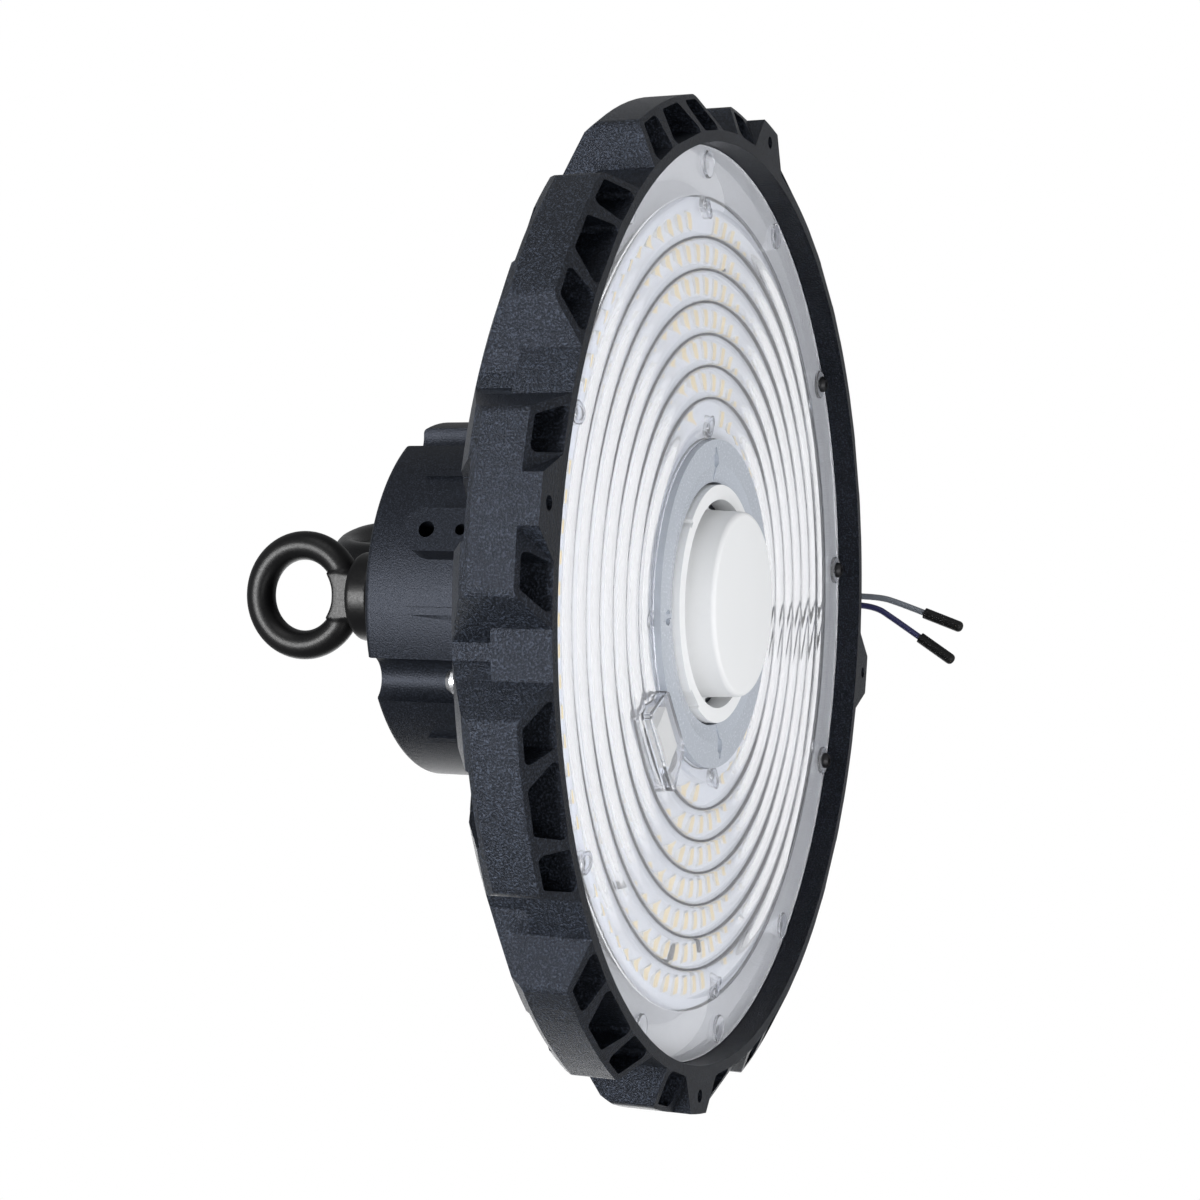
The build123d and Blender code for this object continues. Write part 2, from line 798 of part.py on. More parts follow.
# Sensor cap: a drum with a flat on its side
with BuildPart() as sensor_cap:
    with BuildSketch(Plane.XZ):
        with BuildLine():
            Polyline(
                section(
                    [
                        (sensor_cap_radius - sensor_cap_wall, sensor_seat_height),
                        (sensor_cap_radius, sensor_seat_height),
                        (sensor_cap_face_radius, sensor_cap_height + sensor_cap_edge),
                    ]
                )
            )
            RadiusArc(
                *section(
                    [
                        (sensor_cap_face_radius, sensor_cap_height + sensor_cap_edge),
                        (sensor_cap_face_radius - sensor_cap_edge, sensor_cap_height),
                    ]
                ),
                sensor_cap_edge,
            )
            Polyline(
                section(
                    [
                        (sensor_cap_face_radius - sensor_cap_edge, sensor_cap_height),
                        (0, sensor_cap_height),
                        (0, sensor_cap_height + sensor_cap_wall),
                        (sensor_cap_face_radius - sensor_cap_wall, sensor_cap_height + sensor_cap_wall),
                        (sensor_cap_radius - sensor_cap_wall, sensor_seat_height),
                    ]
                )
            )
        make_face()
    revolve(axis=Axis.Z)
    with BuildSketch(level(sensor_cap_height)):
        with Locations(Rotation(0, 0, sensor_cap_flat_angle)):
            with Locations((sensor_cap_flat_place + sensor_cap_radius / 2, 0)):
                Rectangle(sensor_cap_radius, 2 * sensor_cap_radius)
    extrude(amount=sensor_seat_height - sensor_cap_height, mode=Mode.SUBTRACT)
sensor_cap.part.label = "sensor_cap"
export_step(sensor_cap.part, "parts/sensor_cap.step")

# Sensor board with its antenna patch facing the floor
with BuildPart() as sensor_board:
    with BuildSketch(level(sensor_board_height)):
        Circle(sensor_board_radius)
    extrude(amount=sensor_board_thickness)
    with BuildSketch(level(sensor_board_height - sensor_chip_height)):
        Rectangle(sensor_chip_size, sensor_chip_size)
    extrude(amount=sensor_chip_height)
sensor_board.part.label = "sensor_board"
export_step(sensor_board.part, "parts/sensor_board.step")


# Driver housing: a cup with two bracket lugs, thin ribs, screw channels and bosses
with BuildPart() as driver_housing:
    with BuildSketch(level(driver_base_height)):
        Circle(driver_radius)
    extrude(amount=driver_top_height - driver_base_height)
    fillet(driver_housing.edges().group_by(Axis.Z)[-1], driver_edge_radius)
    for index in range(lug_count):
        with BuildSketch(radial_plane(lug_face_radius, lug_angle + index * 360.0 / lug_count)):
            with Locations((0, lug_top_height - lug_width / 2)):
                Circle(lug_width / 2)
            with Locations((0, (driver_base_height + lug_top_height - lug_width / 2) / 2)):
                Rectangle(lug_width, lug_top_height - lug_width / 2 - driver_base_height)
        extrude(amount=driver_inner_radius - lug_face_radius)
    with BuildSketch(level(driver_base_height)):
        for offset_angle in (-rib_offset_angle, rib_offset_angle):
            with turned(driver_radius + (rib_rise - rib_root) / 2, channel_count, lug_angle + offset_angle):
                Rectangle(rib_rise + rib_root, rib_width)
    extrude(amount=rib_top_height - driver_base_height)

    # Inside, with a post of the wall left round each screw channel
    with BuildSketch(level(driver_base_height)):
        Circle(driver_inner_radius)
        with turned(driver_radius, channel_count, channel_angle):
            Circle(channel_radius + channel_wall, mode=Mode.SUBTRACT)
    extrude(amount=driver_ceiling_height - driver_base_height, mode=Mode.SUBTRACT)
    with BuildSketch(level(ledge_height)):
        with turned(driver_radius, channel_count, channel_angle):
            Circle(channel_radius)
    extrude(amount=driver_top_height - ledge_height, mode=Mode.SUBTRACT)
    with BuildSketch(level(driver_base_height)):
        with turned(driver_screw_place, channel_count, channel_angle):
            Circle(ear_radius)
    extrude(amount=ledge_height - driver_base_height)
    with BuildSketch(level(driver_base_height)):
        with turned(driver_screw_place, channel_count, channel_angle):
            Circle(driver_screw_radius + screw_clearance)
    extrude(amount=ledge_height - driver_base_height, mode=Mode.SUBTRACT)

    # Boss for the eye bolt and boss for the gland
    with BuildSketch(Plane.XZ):
        with BuildLine():
            Polyline(
                section(
                    [
                        (0, boss_bottom_height),
                        (boss_inner_radius, boss_bottom_height),
                        (boss_inner_radius, driver_ceiling_height),
                        (boss_root_radius, driver_ceiling_height + driver_top_wall / 2),
                        (boss_root_radius, driver_top_height),
                        (boss_radius, boss_top_height),
                        (0, boss_top_height),
                    ]
                ),
                close=True,
            )
        make_face()
    revolve(axis=Axis.Z)
    with BuildSketch(level(driver_ceiling_height)):
        with Locations((gland_x, gland_y)):
            Circle(gland_boss_radius)
    extrude(amount=gland_seat_height - driver_ceiling_height)
    with BuildSketch(level(driver_ceiling_height)):
        with Locations((gland_x, gland_y)):
            Circle(gland_thread_radius + gland_clearance)
    extrude(amount=gland_seat_height - driver_ceiling_height, mode=Mode.SUBTRACT)
    with BuildSketch(level(driver_top_height - screw_end_gap)):
        Circle(eye_shank_radius + eye_fit_clearance)
    extrude(amount=boss_rise + screw_end_gap, mode=Mode.SUBTRACT)

    # Holes in the lugs
    for index in range(lug_count):
        with BuildSketch(radial_plane(lug_face_radius, lug_angle + index * 360.0 / lug_count)):
            with Locations((0, lug_top_height - lug_hole_drop)):
                Circle(lug_hole_radius)
            with Locations((0, lug_top_height - lug_hole_drop - lug_lower_hole_drop)):
                Circle(lug_lower_hole_radius)
        extrude(amount=-lug_hole_depth, mode=Mode.SUBTRACT)
driver_housing.part.label = "driver_housing"
export_step(driver_housing.part, "parts/driver_housing.step")

# Seal between the driver housing and the hub
with BuildPart() as driver_seal:
    with BuildSketch(level(hub_top_height)):
        Circle(driver_radius)
        with turned(driver_screw_place, channel_count, channel_angle):
            Circle(ear_radius)
        Circle(seal_inner_radius, mode=Mode.SUBTRACT)
        with turned(driver_screw_place, channel_count, channel_angle):
            Circle(driver_screw_radius + screw_clearance, mode=Mode.SUBTRACT)
    extrude(amount=seal_thickness)
driver_seal.part.label = "driver_seal"
export_step(driver_seal.part, "parts/driver_seal.step")

# Four screws in the housing's channels
driver_screw_end = -ledge_thickness - seal_thickness - driver_thread_length
with BuildPart() as driver_screw:
    with BuildSketch(Plane.XZ):
        with BuildLine():
            Polyline(
                (0, 0),
                (0, driver_screw_head_height),
                (driver_screw_crown_radius, driver_screw_head_height),
                (driver_screw_head_radius, driver_screw_side_height),
                (driver_screw_head_radius, 0),
                (driver_screw_radius, 0),
                (driver_screw_radius, driver_screw_end),
                (0, driver_screw_end),
                close=True,
            )
        make_face()
    revolve(axis=Axis.Z)
    with BuildSketch(Plane.XY.offset(driver_screw_head_height)):
        RegularPolygon(driver_screw_radius, 6)
    extrude(amount=-driver_screw_head_height / 2, mode=Mode.SUBTRACT)
with BuildPart() as driver_screws:
    with Locations(level(ledge_height)):
        with turned(driver_screw_place, channel_count, channel_angle):
            add(driver_screw.part)
driver_screws.part.label = "driver_screws"
export_step(driver_screws.part, "parts/driver_screws.step")

# Eye bolt: ring, flat block, round collar and shank in one forging
with BuildPart() as eye_bolt:
    with BuildSketch(level(collar_top_height)):
        Rectangle(eye_block_width, eye_block_depth)
    extrude(amount=eye_neck_height + eye_wire_radius + eye_block_overlap)
    Cylinder(eye_block_hollow_radius, eye_block_depth, rotation=(90, 0, 0), mode=Mode.SUBTRACT)
    Torus(eye_ring_radius, eye_wire_radius, rotation=(90, 0, 0))
    with BuildSketch(Plane.XZ):
        with BuildLine():
            Polyline(
                section(
                    [
                        (0, driver_top_height),
                        (eye_shank_radius, driver_top_height),
                        (eye_shank_radius, washer_top_height),
                        (eye_collar_radius, washer_top_height),
                        (eye_collar_radius, collar_top_height - collar_edge_radius),
                        (eye_collar_radius - collar_edge_radius, collar_top_height),
                        (0, collar_top_height),
                    ]
                ),
                close=True,
            )
        make_face()
    revolve(axis=Axis.Z)
eye_bolt.part.label = "eye_bolt"
export_step(eye_bolt.part, "parts/eye_bolt.step")

# Washer under the collar
with BuildPart() as eye_washer:
    with BuildSketch(level(boss_top_height)):
        Circle(washer_radius)
        Circle(eye_shank_radius + eye_fit_clearance, mode=Mode.SUBTRACT)
    extrude(amount=washer_thickness)
eye_washer.part.label = "eye_washer"
export_step(eye_washer.part, "parts/eye_washer.step")

# Gland body, with its thread through the housing's boss and a neck inside the cap nut
sleeve_bottom_height = gland_hex_top + gland_neck_height - gland_sleeve_depth
with BuildPart() as gland_body:
    with BuildSketch(level(gland_seat_height)):
        with Locations((gland_x, gland_y)):
            RegularPolygon(gland_hex_across / 2, 6, major_radius=False)
    extrude(amount=gland_hex_height)
    with BuildSketch(level(gland_hex_top)):
        with Locations((gland_x, gland_y)):
            Circle(gland_neck_radius)
    extrude(amount=gland_neck_height)
    with BuildSketch(level(gland_seat_height)):
        with Locations((gland_x, gland_y)):
            Circle(gland_thread_radius)
    extrude(amount=-gland_thread_length)
    with BuildSketch(level(sleeve_bottom_height)):
        with Locations((gland_x, gland_y)):
            Circle(sleeve_radius + gland_clearance)
    extrude(amount=gland_sleeve_depth, mode=Mode.SUBTRACT)
    with BuildSketch(level(gland_seat_height - gland_thread_length)):
        with Locations((gland_x, gland_y)):
            Circle(cable_radius)
    extrude(amount=sleeve_bottom_height - gland_seat_height + gland_thread_length, mode=Mode.SUBTRACT)
gland_body.part.label = "gland_body"
export_step(gland_body.part, "parts/gland_body.step")

# Cap nut of the gland, with a domed end
with BuildPart() as gland_cap:
    with BuildSketch(level(gland_hex_top)):
        with Locations((gland_x, gland_y)):
            RegularPolygon(gland_cap_across / 2, 6, major_radius=False)
    extrude(amount=gland_cap_height)
    with BuildSketch(level(gland_cap_top)):
        with Locations((gland_x, gland_y)):
            Circle(gland_cap_across / 2)
    with BuildSketch(level(gland_dome_top)):
        with Locations((gland_x, gland_y)):
            Circle(gland_cap_top_radius)
    loft()
    with BuildSketch(level(gland_hex_top)):
        with Locations((gland_x, gland_y)):
            Circle(gland_neck_radius + gland_clearance)
    extrude(amount=gland_neck_height + gland_clearance, mode=Mode.SUBTRACT)
    with BuildSketch(level(gland_hex_top)):
        with Locations((gland_x, gland_y)):
            Circle(sleeve_radius + gland_clearance)
    extrude(amount=gland_dome_top - gland_hex_top, mode=Mode.SUBTRACT)
gland_cap.part.label = "gland_cap"
export_step(gland_cap.part, "parts/gland_cap.step")

# Rubber sleeve in the gland; the cable starts at its top face
with BuildPart() as gland_sleeve:
    with BuildSketch(level(sleeve_bottom_height)):
        with Locations((gland_x, gland_y)):
            Circle(sleeve_radius)
    extrude(amount=sleeve_top_height - sleeve_bottom_height)
gland_sleeve.part.label = "gland_sleeve"
export_step(gland_sleeve.part, "parts/gland_sleeve.step")

# Lock nut of the gland, inside the housing
with BuildPart() as gland_nut:
    with BuildSketch(level(driver_ceiling_height - gland_nut_height)):
        with Locations((gland_x, gland_y)):
            RegularPolygon(gland_hex_across / 2, 6, major_radius=False)
            Circle(gland_thread_radius + gland_clearance, mode=Mode.SUBTRACT)
    extrude(amount=gland_nut_height)
gland_nut.part.label = "gland_nut"
export_step(gland_nut.part, "parts/gland_nut.step")

# Driver board on the hub's standoffs
with BuildPart() as driver_board:
    with BuildSketch(level(driver_board_height)):
        Circle(driver_board_radius)
    extrude(amount=driver_board_thickness)
driver_board.part.label = "driver_board"
export_step(driver_board.part, "parts/driver_board.step")

# Transformer: ferrite core round a bobbin
with BuildPart() as driver_transformer:
    with BuildSketch(level(driver_parts_height)):
        with Locations((transformer_x, transformer_y)):
            Rectangle(transformer_length, transformer_core_width)
    extrude(amount=parts_room * transformer_share)
    with BuildSketch(level(driver_parts_height)):
        with Locations((transformer_x, transformer_y)):
            Rectangle(transformer_length - 2 * bobbin_overhang, transformer_width)
    extrude(amount=parts_room * bobbin_share)
driver_transformer.part.label = "driver_transformer"
export_step(driver_transformer.part, "parts/driver_transformer.step")

# Two capacitors
with BuildPart() as driver_capacitors:
    with BuildSketch(level(driver_parts_height)):
        with Locations((capacitor_x, -capacitor_y), (capacitor_x, capacitor_y)):
            Circle(capacitor_radius)
    extrude(amount=parts_room * capacitor_share)
driver_capacitors.part.label = "driver_capacitors"
export_step(driver_capacitors.part, "parts/driver_capacitors.step")

# Toroidal inductor
with BuildPart() as driver_inductor:
    with Locations((inductor_x, inductor_y, driver_parts_height + inductor_wire_radius - eye_height)):
        Torus(inductor_radius, inductor_wire_radius)
driver_inductor.part.label = "driver_inductor"
export_step(driver_inductor.part, "parts/driver_inductor.step")

# Two switching transistors
with BuildPart() as driver_transistors:
    with BuildSketch(level(driver_parts_height)):
        with Locations((transistor_x, transistor_y), (transistor_x, transistor_y - transistor_spacing)):
            Rectangle(transistor_width, transistor_depth)
    extrude(amount=parts_room * transistor_share)
driver_transistors.part.label = "driver_transistors"
export_step(driver_transistors.part, "parts/driver_transistors.step")


def corner_radii(points):
    """The radius at each corner of a route: a share of the shorter run over the tangent of half the turn."""
    radii = []
    for before, here, after in zip(points, points[1:], points[2:]):
        arriving = Vector(*here) - Vector(*before)
        leaving = Vector(*after) - Vector(*here)
        turn = radians(arriving.get_angle(leaving))
        radii.append(bend_share * min(arriving.length, leaving.length) / tan(turn / 2))
    return radii


def cord(points, radius, name):
    """A round cord along a route of straight runs joined by arcs."""
    route = [(x, y, height - eye_height) for x, y, height in points]
    radii = corner_radii(route)
    with BuildPart() as tube:
        with BuildLine() as line:
            FilletPolyline(*route, radius=radii)
        path = line.wires()[0]
        with BuildSketch(Plane(path @ 0, z_dir=path % 0)):
            Circle(radius)
        sweep(path=path)
    print(name, "radii", [round(value, 1) for value in radii], "length", round(path.length, 1))
    print(name, "volume over section times length", tube.part.volume / (pi * radius**2 * path.length))
    tube.part.label = name
    export_step(tube.part, "parts/" + name + ".step")


cable_start = [
    (gland_x, gland_y, sleeve_top_height),
    (gland_x, gland_y, sleeve_top_height + cable_rise),
]
cord(cable_start + cable_free_points, cable_radius, "supply_cable")
cord(grey_wire_points, wire_radius, "grey_wire")
cord(purple_wire_points, wire_radius, "purple_wire")


def end_cap(points):
    """A shrunk-on cap with a rounded end, from the last point of a wire's route on along its last run."""
    before, end = [Vector(x, y, height - eye_height) for x, y, height in points[-2:]]
    with BuildPart() as cap:
        with BuildSketch(Plane(end, z_dir=end - before)):
            Circle(wire_cap_radius)
        extrude(amount=wire_cap_length)
        fillet(cap.edges().sort_by_distance(end)[-1], wire_cap_edge_radius)
    return cap.part


# End caps of the two control wires
with BuildPart() as wire_caps:
    add(end_cap(grey_wire_points))
    add(end_cap(purple_wire_points))
wire_caps.part.label = "wire_caps"
export_step(wire_caps.part, "parts/wire_caps.step")
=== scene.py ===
"""Looks of a round high bay light that hangs by an eye bolt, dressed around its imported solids.

The light's own axis is Z, with the eye bolt at the top and the lens below. The classes hold sizes in
millimetres and angles in degrees, and their methods turn them into metres and radians. Heights are
counted from the front rim's plane upwards.
"""

import logging
import math
from dataclasses import dataclass
from enum import Enum
from typing import Any, Callable, Sequence

import bmesh
import bpy
from mathutils import Matrix, Vector

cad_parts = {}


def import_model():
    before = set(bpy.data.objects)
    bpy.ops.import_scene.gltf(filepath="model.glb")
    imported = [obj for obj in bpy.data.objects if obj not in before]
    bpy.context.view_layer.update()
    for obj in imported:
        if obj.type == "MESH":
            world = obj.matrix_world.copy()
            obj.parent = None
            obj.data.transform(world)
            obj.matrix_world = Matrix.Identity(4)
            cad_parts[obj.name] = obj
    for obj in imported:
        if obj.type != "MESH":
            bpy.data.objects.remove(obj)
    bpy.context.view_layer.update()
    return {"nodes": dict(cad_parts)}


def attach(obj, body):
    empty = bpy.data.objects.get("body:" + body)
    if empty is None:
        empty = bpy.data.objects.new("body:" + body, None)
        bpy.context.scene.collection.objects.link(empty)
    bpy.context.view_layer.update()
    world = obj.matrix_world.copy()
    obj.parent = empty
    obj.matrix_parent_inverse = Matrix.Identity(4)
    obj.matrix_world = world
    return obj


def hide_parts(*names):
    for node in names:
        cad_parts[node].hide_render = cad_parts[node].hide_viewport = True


log = logging.getLogger("high_bay_light")

MM = 0.001
FULL_TURN = 360.0
ROOT = "root"

# Height of the eye ring's centre, where the frame has its origin
EYE_HEIGHT = 155.0

# Angles of the first valley between two lobes and of the wire terminal
FIRST_VALLEY = -5.16
TERMINAL_ANGLE = -130.5

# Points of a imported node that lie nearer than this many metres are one
MERGE_GAP = 2e-6

Point = tuple[float, float, float]
Colour = tuple[float, float, float, float]


def linear(code: str) -> Colour:
    """Turn an sRGB hex colour into linear values.

    Args:
        code: Six hex digits, such as "1a1b1d".

    Returns:
        Red, green, blue and an alpha of 1.
    """
    parts = [int(code[index:index + 2], 16) / 255 for index in (0, 2, 4)]
    red, green, blue = (p / 12.92 if p <= 0.04045 else ((p + 0.055) / 1.055) ** 2.4 for p in parts)
    return (red, green, blue, 1.0)


def place(x: float, y: float, height: float) -> Vector:
    """Turn millimetres, with a height above the front rim, into a point of the frame in metres."""
    return Vector((x * MM, y * MM, (height - EYE_HEIGHT) * MM))


def polar(radius: float, angle: float, height: float) -> Vector:
    """Return the point in metres at a radius in millimetres, an angle in degrees and a height."""
    return place(radius * math.cos(math.radians(angle)), radius * math.sin(math.radians(angle)), height)


def add_node(tree: bpy.types.NodeTree, kind: str, settings: dict[str, Any] | None = None,
             inputs: dict[Any, Any] | None = None) -> bpy.types.Node:
    """Add a node with its settings and links.

    Args:
        tree: The node tree.
        kind: The node's type name.
        settings: Properties of the node.
        inputs: Socket names or numbers with a value, or with an output socket to link from.

    Returns:
        The new node.
    """
    node = tree.nodes.new(kind)
    for name, value in (settings or {}).items():
        setattr(node, name, value)
    for name, value in (inputs or {}).items():
        if isinstance(value, bpy.types.NodeSocket):
            tree.links.new(value, node.inputs[name])
        else:
            node.inputs[name].default_value = value
    return node


def new_material(name: str) -> tuple[bpy.types.Material, bpy.types.NodeTree, bpy.types.Node]:
    """Start a node material.

    Args:
        name: Name of the material.

    Returns:
        The material, its node tree and its Principled shader.
    """
    made = bpy.data.materials.new(name)
    made.use_nodes = True
    return made, made.node_tree, made.node_tree.nodes["Principled BSDF"]


class Grain(Enum):
    """How a moulded, cast or coated surface is broken up, as the detail of its noise."""

    SMOOTH = 1.0
    FINE = 2.0
    COARSE = 4.0


# Between these two values lies nearly all of the noise, and a painted glint (a grain painted brighter, as a
# highlight) starts and is full at the next
NOISE_RANGE = (0.3, 0.7)
PAINTED_GLINT_RANGE = (0.5, 0.64)


@dataclass(frozen=True)
class Surface:
    """What every finish shares.

    Attributes:
        name: The finish in a maker's words.
    """

    name: str

    def material(self) -> bpy.types.Material:
        """Return the finish's material, built when it is first asked for."""
        return bpy.data.materials.get(self.name) or self.build()

    def build(self) -> bpy.types.Material:
        """Build the node material, which each kind of finish does in its own way."""
        raise NotImplementedError(self.name)


@dataclass(frozen=True)
class Finish(Surface):
    """An opaque surface: coat, plastic, rubber or bare metal.

    Attributes:
        colour: sRGB hex of the surface.
        shade: sRGB hex that the colour drifts to in its mottling.
        roughness: Mean roughness.
        grain: How the surface is broken up.
        grain_mm: Size of a grain. One below about 0.4 mm wouldn't show, so finer ones are drawn at that.
        bump_mm: Height of the grain.
        metallic: 1 for bare metal.
        level: Specular level, 0.5 for a plain dielectric.
        painted_glint: sRGB hex of the painted glints, single grains painted brighter as highlights, or an
            empty string for none.
        sheen: sRGB hex that tints the gloss seen straight on.
        drift_mm: Size of the slow drift of colour across the surface.
        mottle: Share of the grain in the colour's drift.
        drift: Share of the slow drift in it.
        offset: What is added to both, so that the colour leads.
        swing: Share by which the roughness rises and falls with the grain.
    """

    colour: str
    shade: str
    roughness: float
    grain: Grain = Grain.FINE
    grain_mm: float = 0.6
    bump_mm: float = 0.02
    metallic: float = 0.0
    level: float = 0.5
    painted_glint: str = ""
    sheen: str = "ffffff"
    drift_mm: float = 40.0
    mottle: float = 0.7
    drift: float = 0.4
    offset: float = -0.1
    swing: float = 0.15

    def build(self) -> bpy.types.Material:
        """Build the node material.

        Returns:
            The material.
        """
        made, tree, shader = new_material(self.name)
        where = add_node(tree, "ShaderNodeTexCoord").outputs["Object"]
        speckle = add_node(tree, "ShaderNodeTexNoise", {}, {
            "Vector": where, "Scale": 1.0 / (self.grain_mm * MM), "Detail": self.grain.value,
            "Roughness": 0.6}).outputs["Fac"]
        slow = add_node(tree, "ShaderNodeTexNoise", {}, {
            "Vector": where, "Scale": 1.0 / (self.drift_mm * MM), "Detail": 2.0}).outputs["Fac"]
        mottled = add_node(tree, "ShaderNodeMath", {"operation": "MULTIPLY_ADD"}, {
            0: speckle, 1: self.mottle, 2: self.offset})
        drifted = add_node(tree, "ShaderNodeMath", {"operation": "MULTIPLY_ADD", "use_clamp": True}, {
            0: slow, 1: self.drift, 2: mottled.outputs[0]})
        base = add_node(tree, "ShaderNodeMix", {"data_type": "RGBA"}, {
            "Factor": drifted.outputs[0], 6: linear(self.colour), 7: linear(self.shade)}).outputs[2]
        # Painted glints: where the grain noise is highest the colour is painted lighter, a painted
        # highlight of single grains catching the light
        if self.painted_glint:
            share = add_node(tree, "ShaderNodeMapRange", {}, {
                "Value": speckle, "From Min": PAINTED_GLINT_RANGE[0], "From Max": PAINTED_GLINT_RANGE[1]})
            base = add_node(tree, "ShaderNodeMix", {"data_type": "RGBA"}, {
                "Factor": share.outputs[0], 6: base, 7: linear(self.painted_glint)}).outputs[2]
        tree.links.new(base, shader.inputs["Base Color"])
        rough = add_node(tree, "ShaderNodeMapRange", {}, {
            "Value": speckle, "From Min": NOISE_RANGE[0], "From Max": NOISE_RANGE[1],
            "To Min": self.roughness * (1 - self.swing), "To Max": self.roughness * (1 + self.swing)})
        tree.links.new(rough.outputs[0], shader.inputs["Roughness"])
        if self.grain is not Grain.SMOOTH:
            bump = add_node(tree, "ShaderNodeBump", {}, {
                "Height": speckle, "Distance": self.bump_mm * MM, "Strength": 1.0})
            tree.links.new(bump.outputs[0], shader.inputs["Normal"])
        shader.inputs["Metallic"].default_value = self.metallic
        shader.inputs["Specular IOR Level"].default_value = self.level
        shader.inputs["Specular Tint"].default_value = linear(self.sheen)
        return made


@dataclass(frozen=True)
class ClearFinish(Surface):
    """Clear moulded plastic, which lets the lamps' light through to what lies behind it.

    Attributes:
        tint: sRGB hex of the tint.
        roughness: Roughness of the surface.
        index: Index of refraction.
        milk: Share of the light that the plastic scatters.
        ripple_mm: Length of the faint ripple that the mould leaves.
        bump_mm: Height of that ripple.
    """

    tint: str
    roughness: float
    index: float
    milk: float
    ripple_mm: float = 6.0
    bump_mm: float = 0.002

    def build(self) -> bpy.types.Material:
        """Build the node material.

        Returns:
            The material.
        """
        made, tree, shader = new_material(self.name)
        shader.inputs["Base Color"].default_value = linear(self.tint)
        shader.inputs["Roughness"].default_value = self.roughness
        shader.inputs["IOR"].default_value = self.index
        shader.inputs["Transmission Weight"].default_value = 1.0 - self.milk
        where = add_node(tree, "ShaderNodeTexCoord").outputs["Object"]
        ripple = add_node(tree, "ShaderNodeTexNoise", {}, {
            "Vector": where, "Scale": 1.0 / (self.ripple_mm * MM), "Detail": 1.0})
        bump = add_node(tree, "ShaderNodeBump", {}, {
            "Height": ripple.outputs["Fac"], "Distance": self.bump_mm * MM, "Strength": 1.0})
        tree.links.new(bump.outputs[0], shader.inputs["Normal"])
        ray = add_node(tree, "ShaderNodeLightPath")
        through = add_node(tree, "ShaderNodeBsdfTransparent", {}, {"Color": linear(self.tint)})
        mix = add_node(tree, "ShaderNodeMixShader", {}, {
            0: ray.outputs["Is Shadow Ray"], 1: shader.outputs[0], 2: through.outputs[0]})
        tree.links.new(mix.outputs[0], tree.nodes["Material Output"].inputs["Surface"])
        return made


# Die-cast aluminium, sprayed with a textured powder: blue-black, with painted glints, single grains painted
# lighter as highlights.
# A grain of the real coat is about 0.3 mm and is drawn at 0.6 mm, its bump raised so that it shows.
CAST_COAT = Finish("textured_powder_coat", "090b0f", "040507", 0.33, Grain.COARSE, 0.6, 0.5,
                   level=0.24, painted_glint="2a2f38", sheen="d2daee")

# Die-cast aluminium, sprayed with a fine powder: even blue-black, soft and close in the grain, with faint
# painted glints on single grains
HOUSING_COAT = Finish("fine_powder_coat", "0b0d11", "060709", 0.42, Grain.FINE, 0.5, 0.14,
                      level=0.15, painted_glint="181b21", sheen="d2daee")

# Forged steel under satin paint: near black, smooth, with one soft highlight round the ring
EYE_PAINT = Finish("satin_black_paint", "070708", "040404", 0.36, Grain.FINE, 0.8, 0.012, level=0.15)

# Polycarbonate from a polished mould: glassy, with bright lines along every curve and a trace of milk
CLEAR_PLASTIC = ClearFinish("clear_polycarbonate", "f9fafd", 0.015, 1.47, 0.06)

# Silicone rubber, moulded: matt, off-white and slightly uneven
WHITE_SILICONE = Finish("white_silicone", "d9dadb", "cfd0d2", 0.6, Grain.FINE, 0.5, 0.01)

# Silicone rubber, moulded: matt, a little lighter than the coats above and below it
BLACK_SILICONE = Finish("black_silicone", "1c1c1d", "141415", 0.7, Grain.FINE, 0.5, 0.01)

# Solder mask, printed on the LED board: an even cool white with a faint gloss
SOLDER_MASK = Finish("white_solder_mask", "e2e5eb", "dadee5", 0.35, Grain.SMOOTH)

# Silicone gel filled with phosphor, poured: the warm yellow window of a package
PHOSPHOR = Finish("yellow_phosphor_gel", "f1dca8", "ead096", 0.4, Grain.SMOOTH)

# Epoxy resin, moulded: small dark grey blocks on the white board
PART_RESIN = Finish("dark_component_resin", "3a3b40", "2c2d31", 0.45, Grain.SMOOTH)

# Reflective resin, moulded: the warm white rim round a package's window
PACKAGE_WHITE = Finish("white_package_resin", "eceae4", "e6e3dc", 0.45, Grain.SMOOTH)

# Steel, headed and blackened: dark, with a metal's small sharp glints
BLACK_STEEL = Finish("blackened_steel", "2a2a2c", "1d1d1f", 0.35, Grain.FINE, 0.4, 0.01, 0.6)

# Steel, headed and zinc-plated: bright and slightly dulled
BRIGHT_STEEL = Finish("bright_zinc_steel", "d5d6d8", "b9babd", 0.28, Grain.FINE, 0.5, 0.01, 1.0)

# Polycarbonate, moulded and pigmented: pale grey with clear, soft reflections
RING_PLASTIC = Finish("pale_moulded_polycarbonate", "bac0c9", "aeb4be", 0.25, Grain.SMOOTH)

# ABS from a mould with an eroded texture: matt white, with hardly a highlight
SENSOR_PLASTIC = Finish("matte_white_abs", "eeeff0", "e8e9ea", 0.55, Grain.FINE, 0.4, 0.008)

# Nylon, moulded: a slightly yellow, waxy white
TERMINAL_PLASTIC = Finish("white_nylon", "dcdbd6", "d2d1cb", 0.45, Grain.SMOOTH)

# Nylon, moulded: dark grey satin
GLAND_NYLON = Finish("dark_grey_nylon", "2b2c2f", "222326", 0.4, Grain.FINE, 0.5, 0.012)

# Rubber, moulded: matt mid grey
SLEEVE_RUBBER = Finish("grey_rubber", "6d6f73", "5f6165", 0.6, Grain.FINE, 0.5, 0.01)

# PVC, extruded: black and glossy, with a slow waviness along the cable
SHEATH = Finish("glossy_pvc_sheath", "08090c", "050607", 0.3, Grain.FINE, 1.2, 0.02, level=0.25)

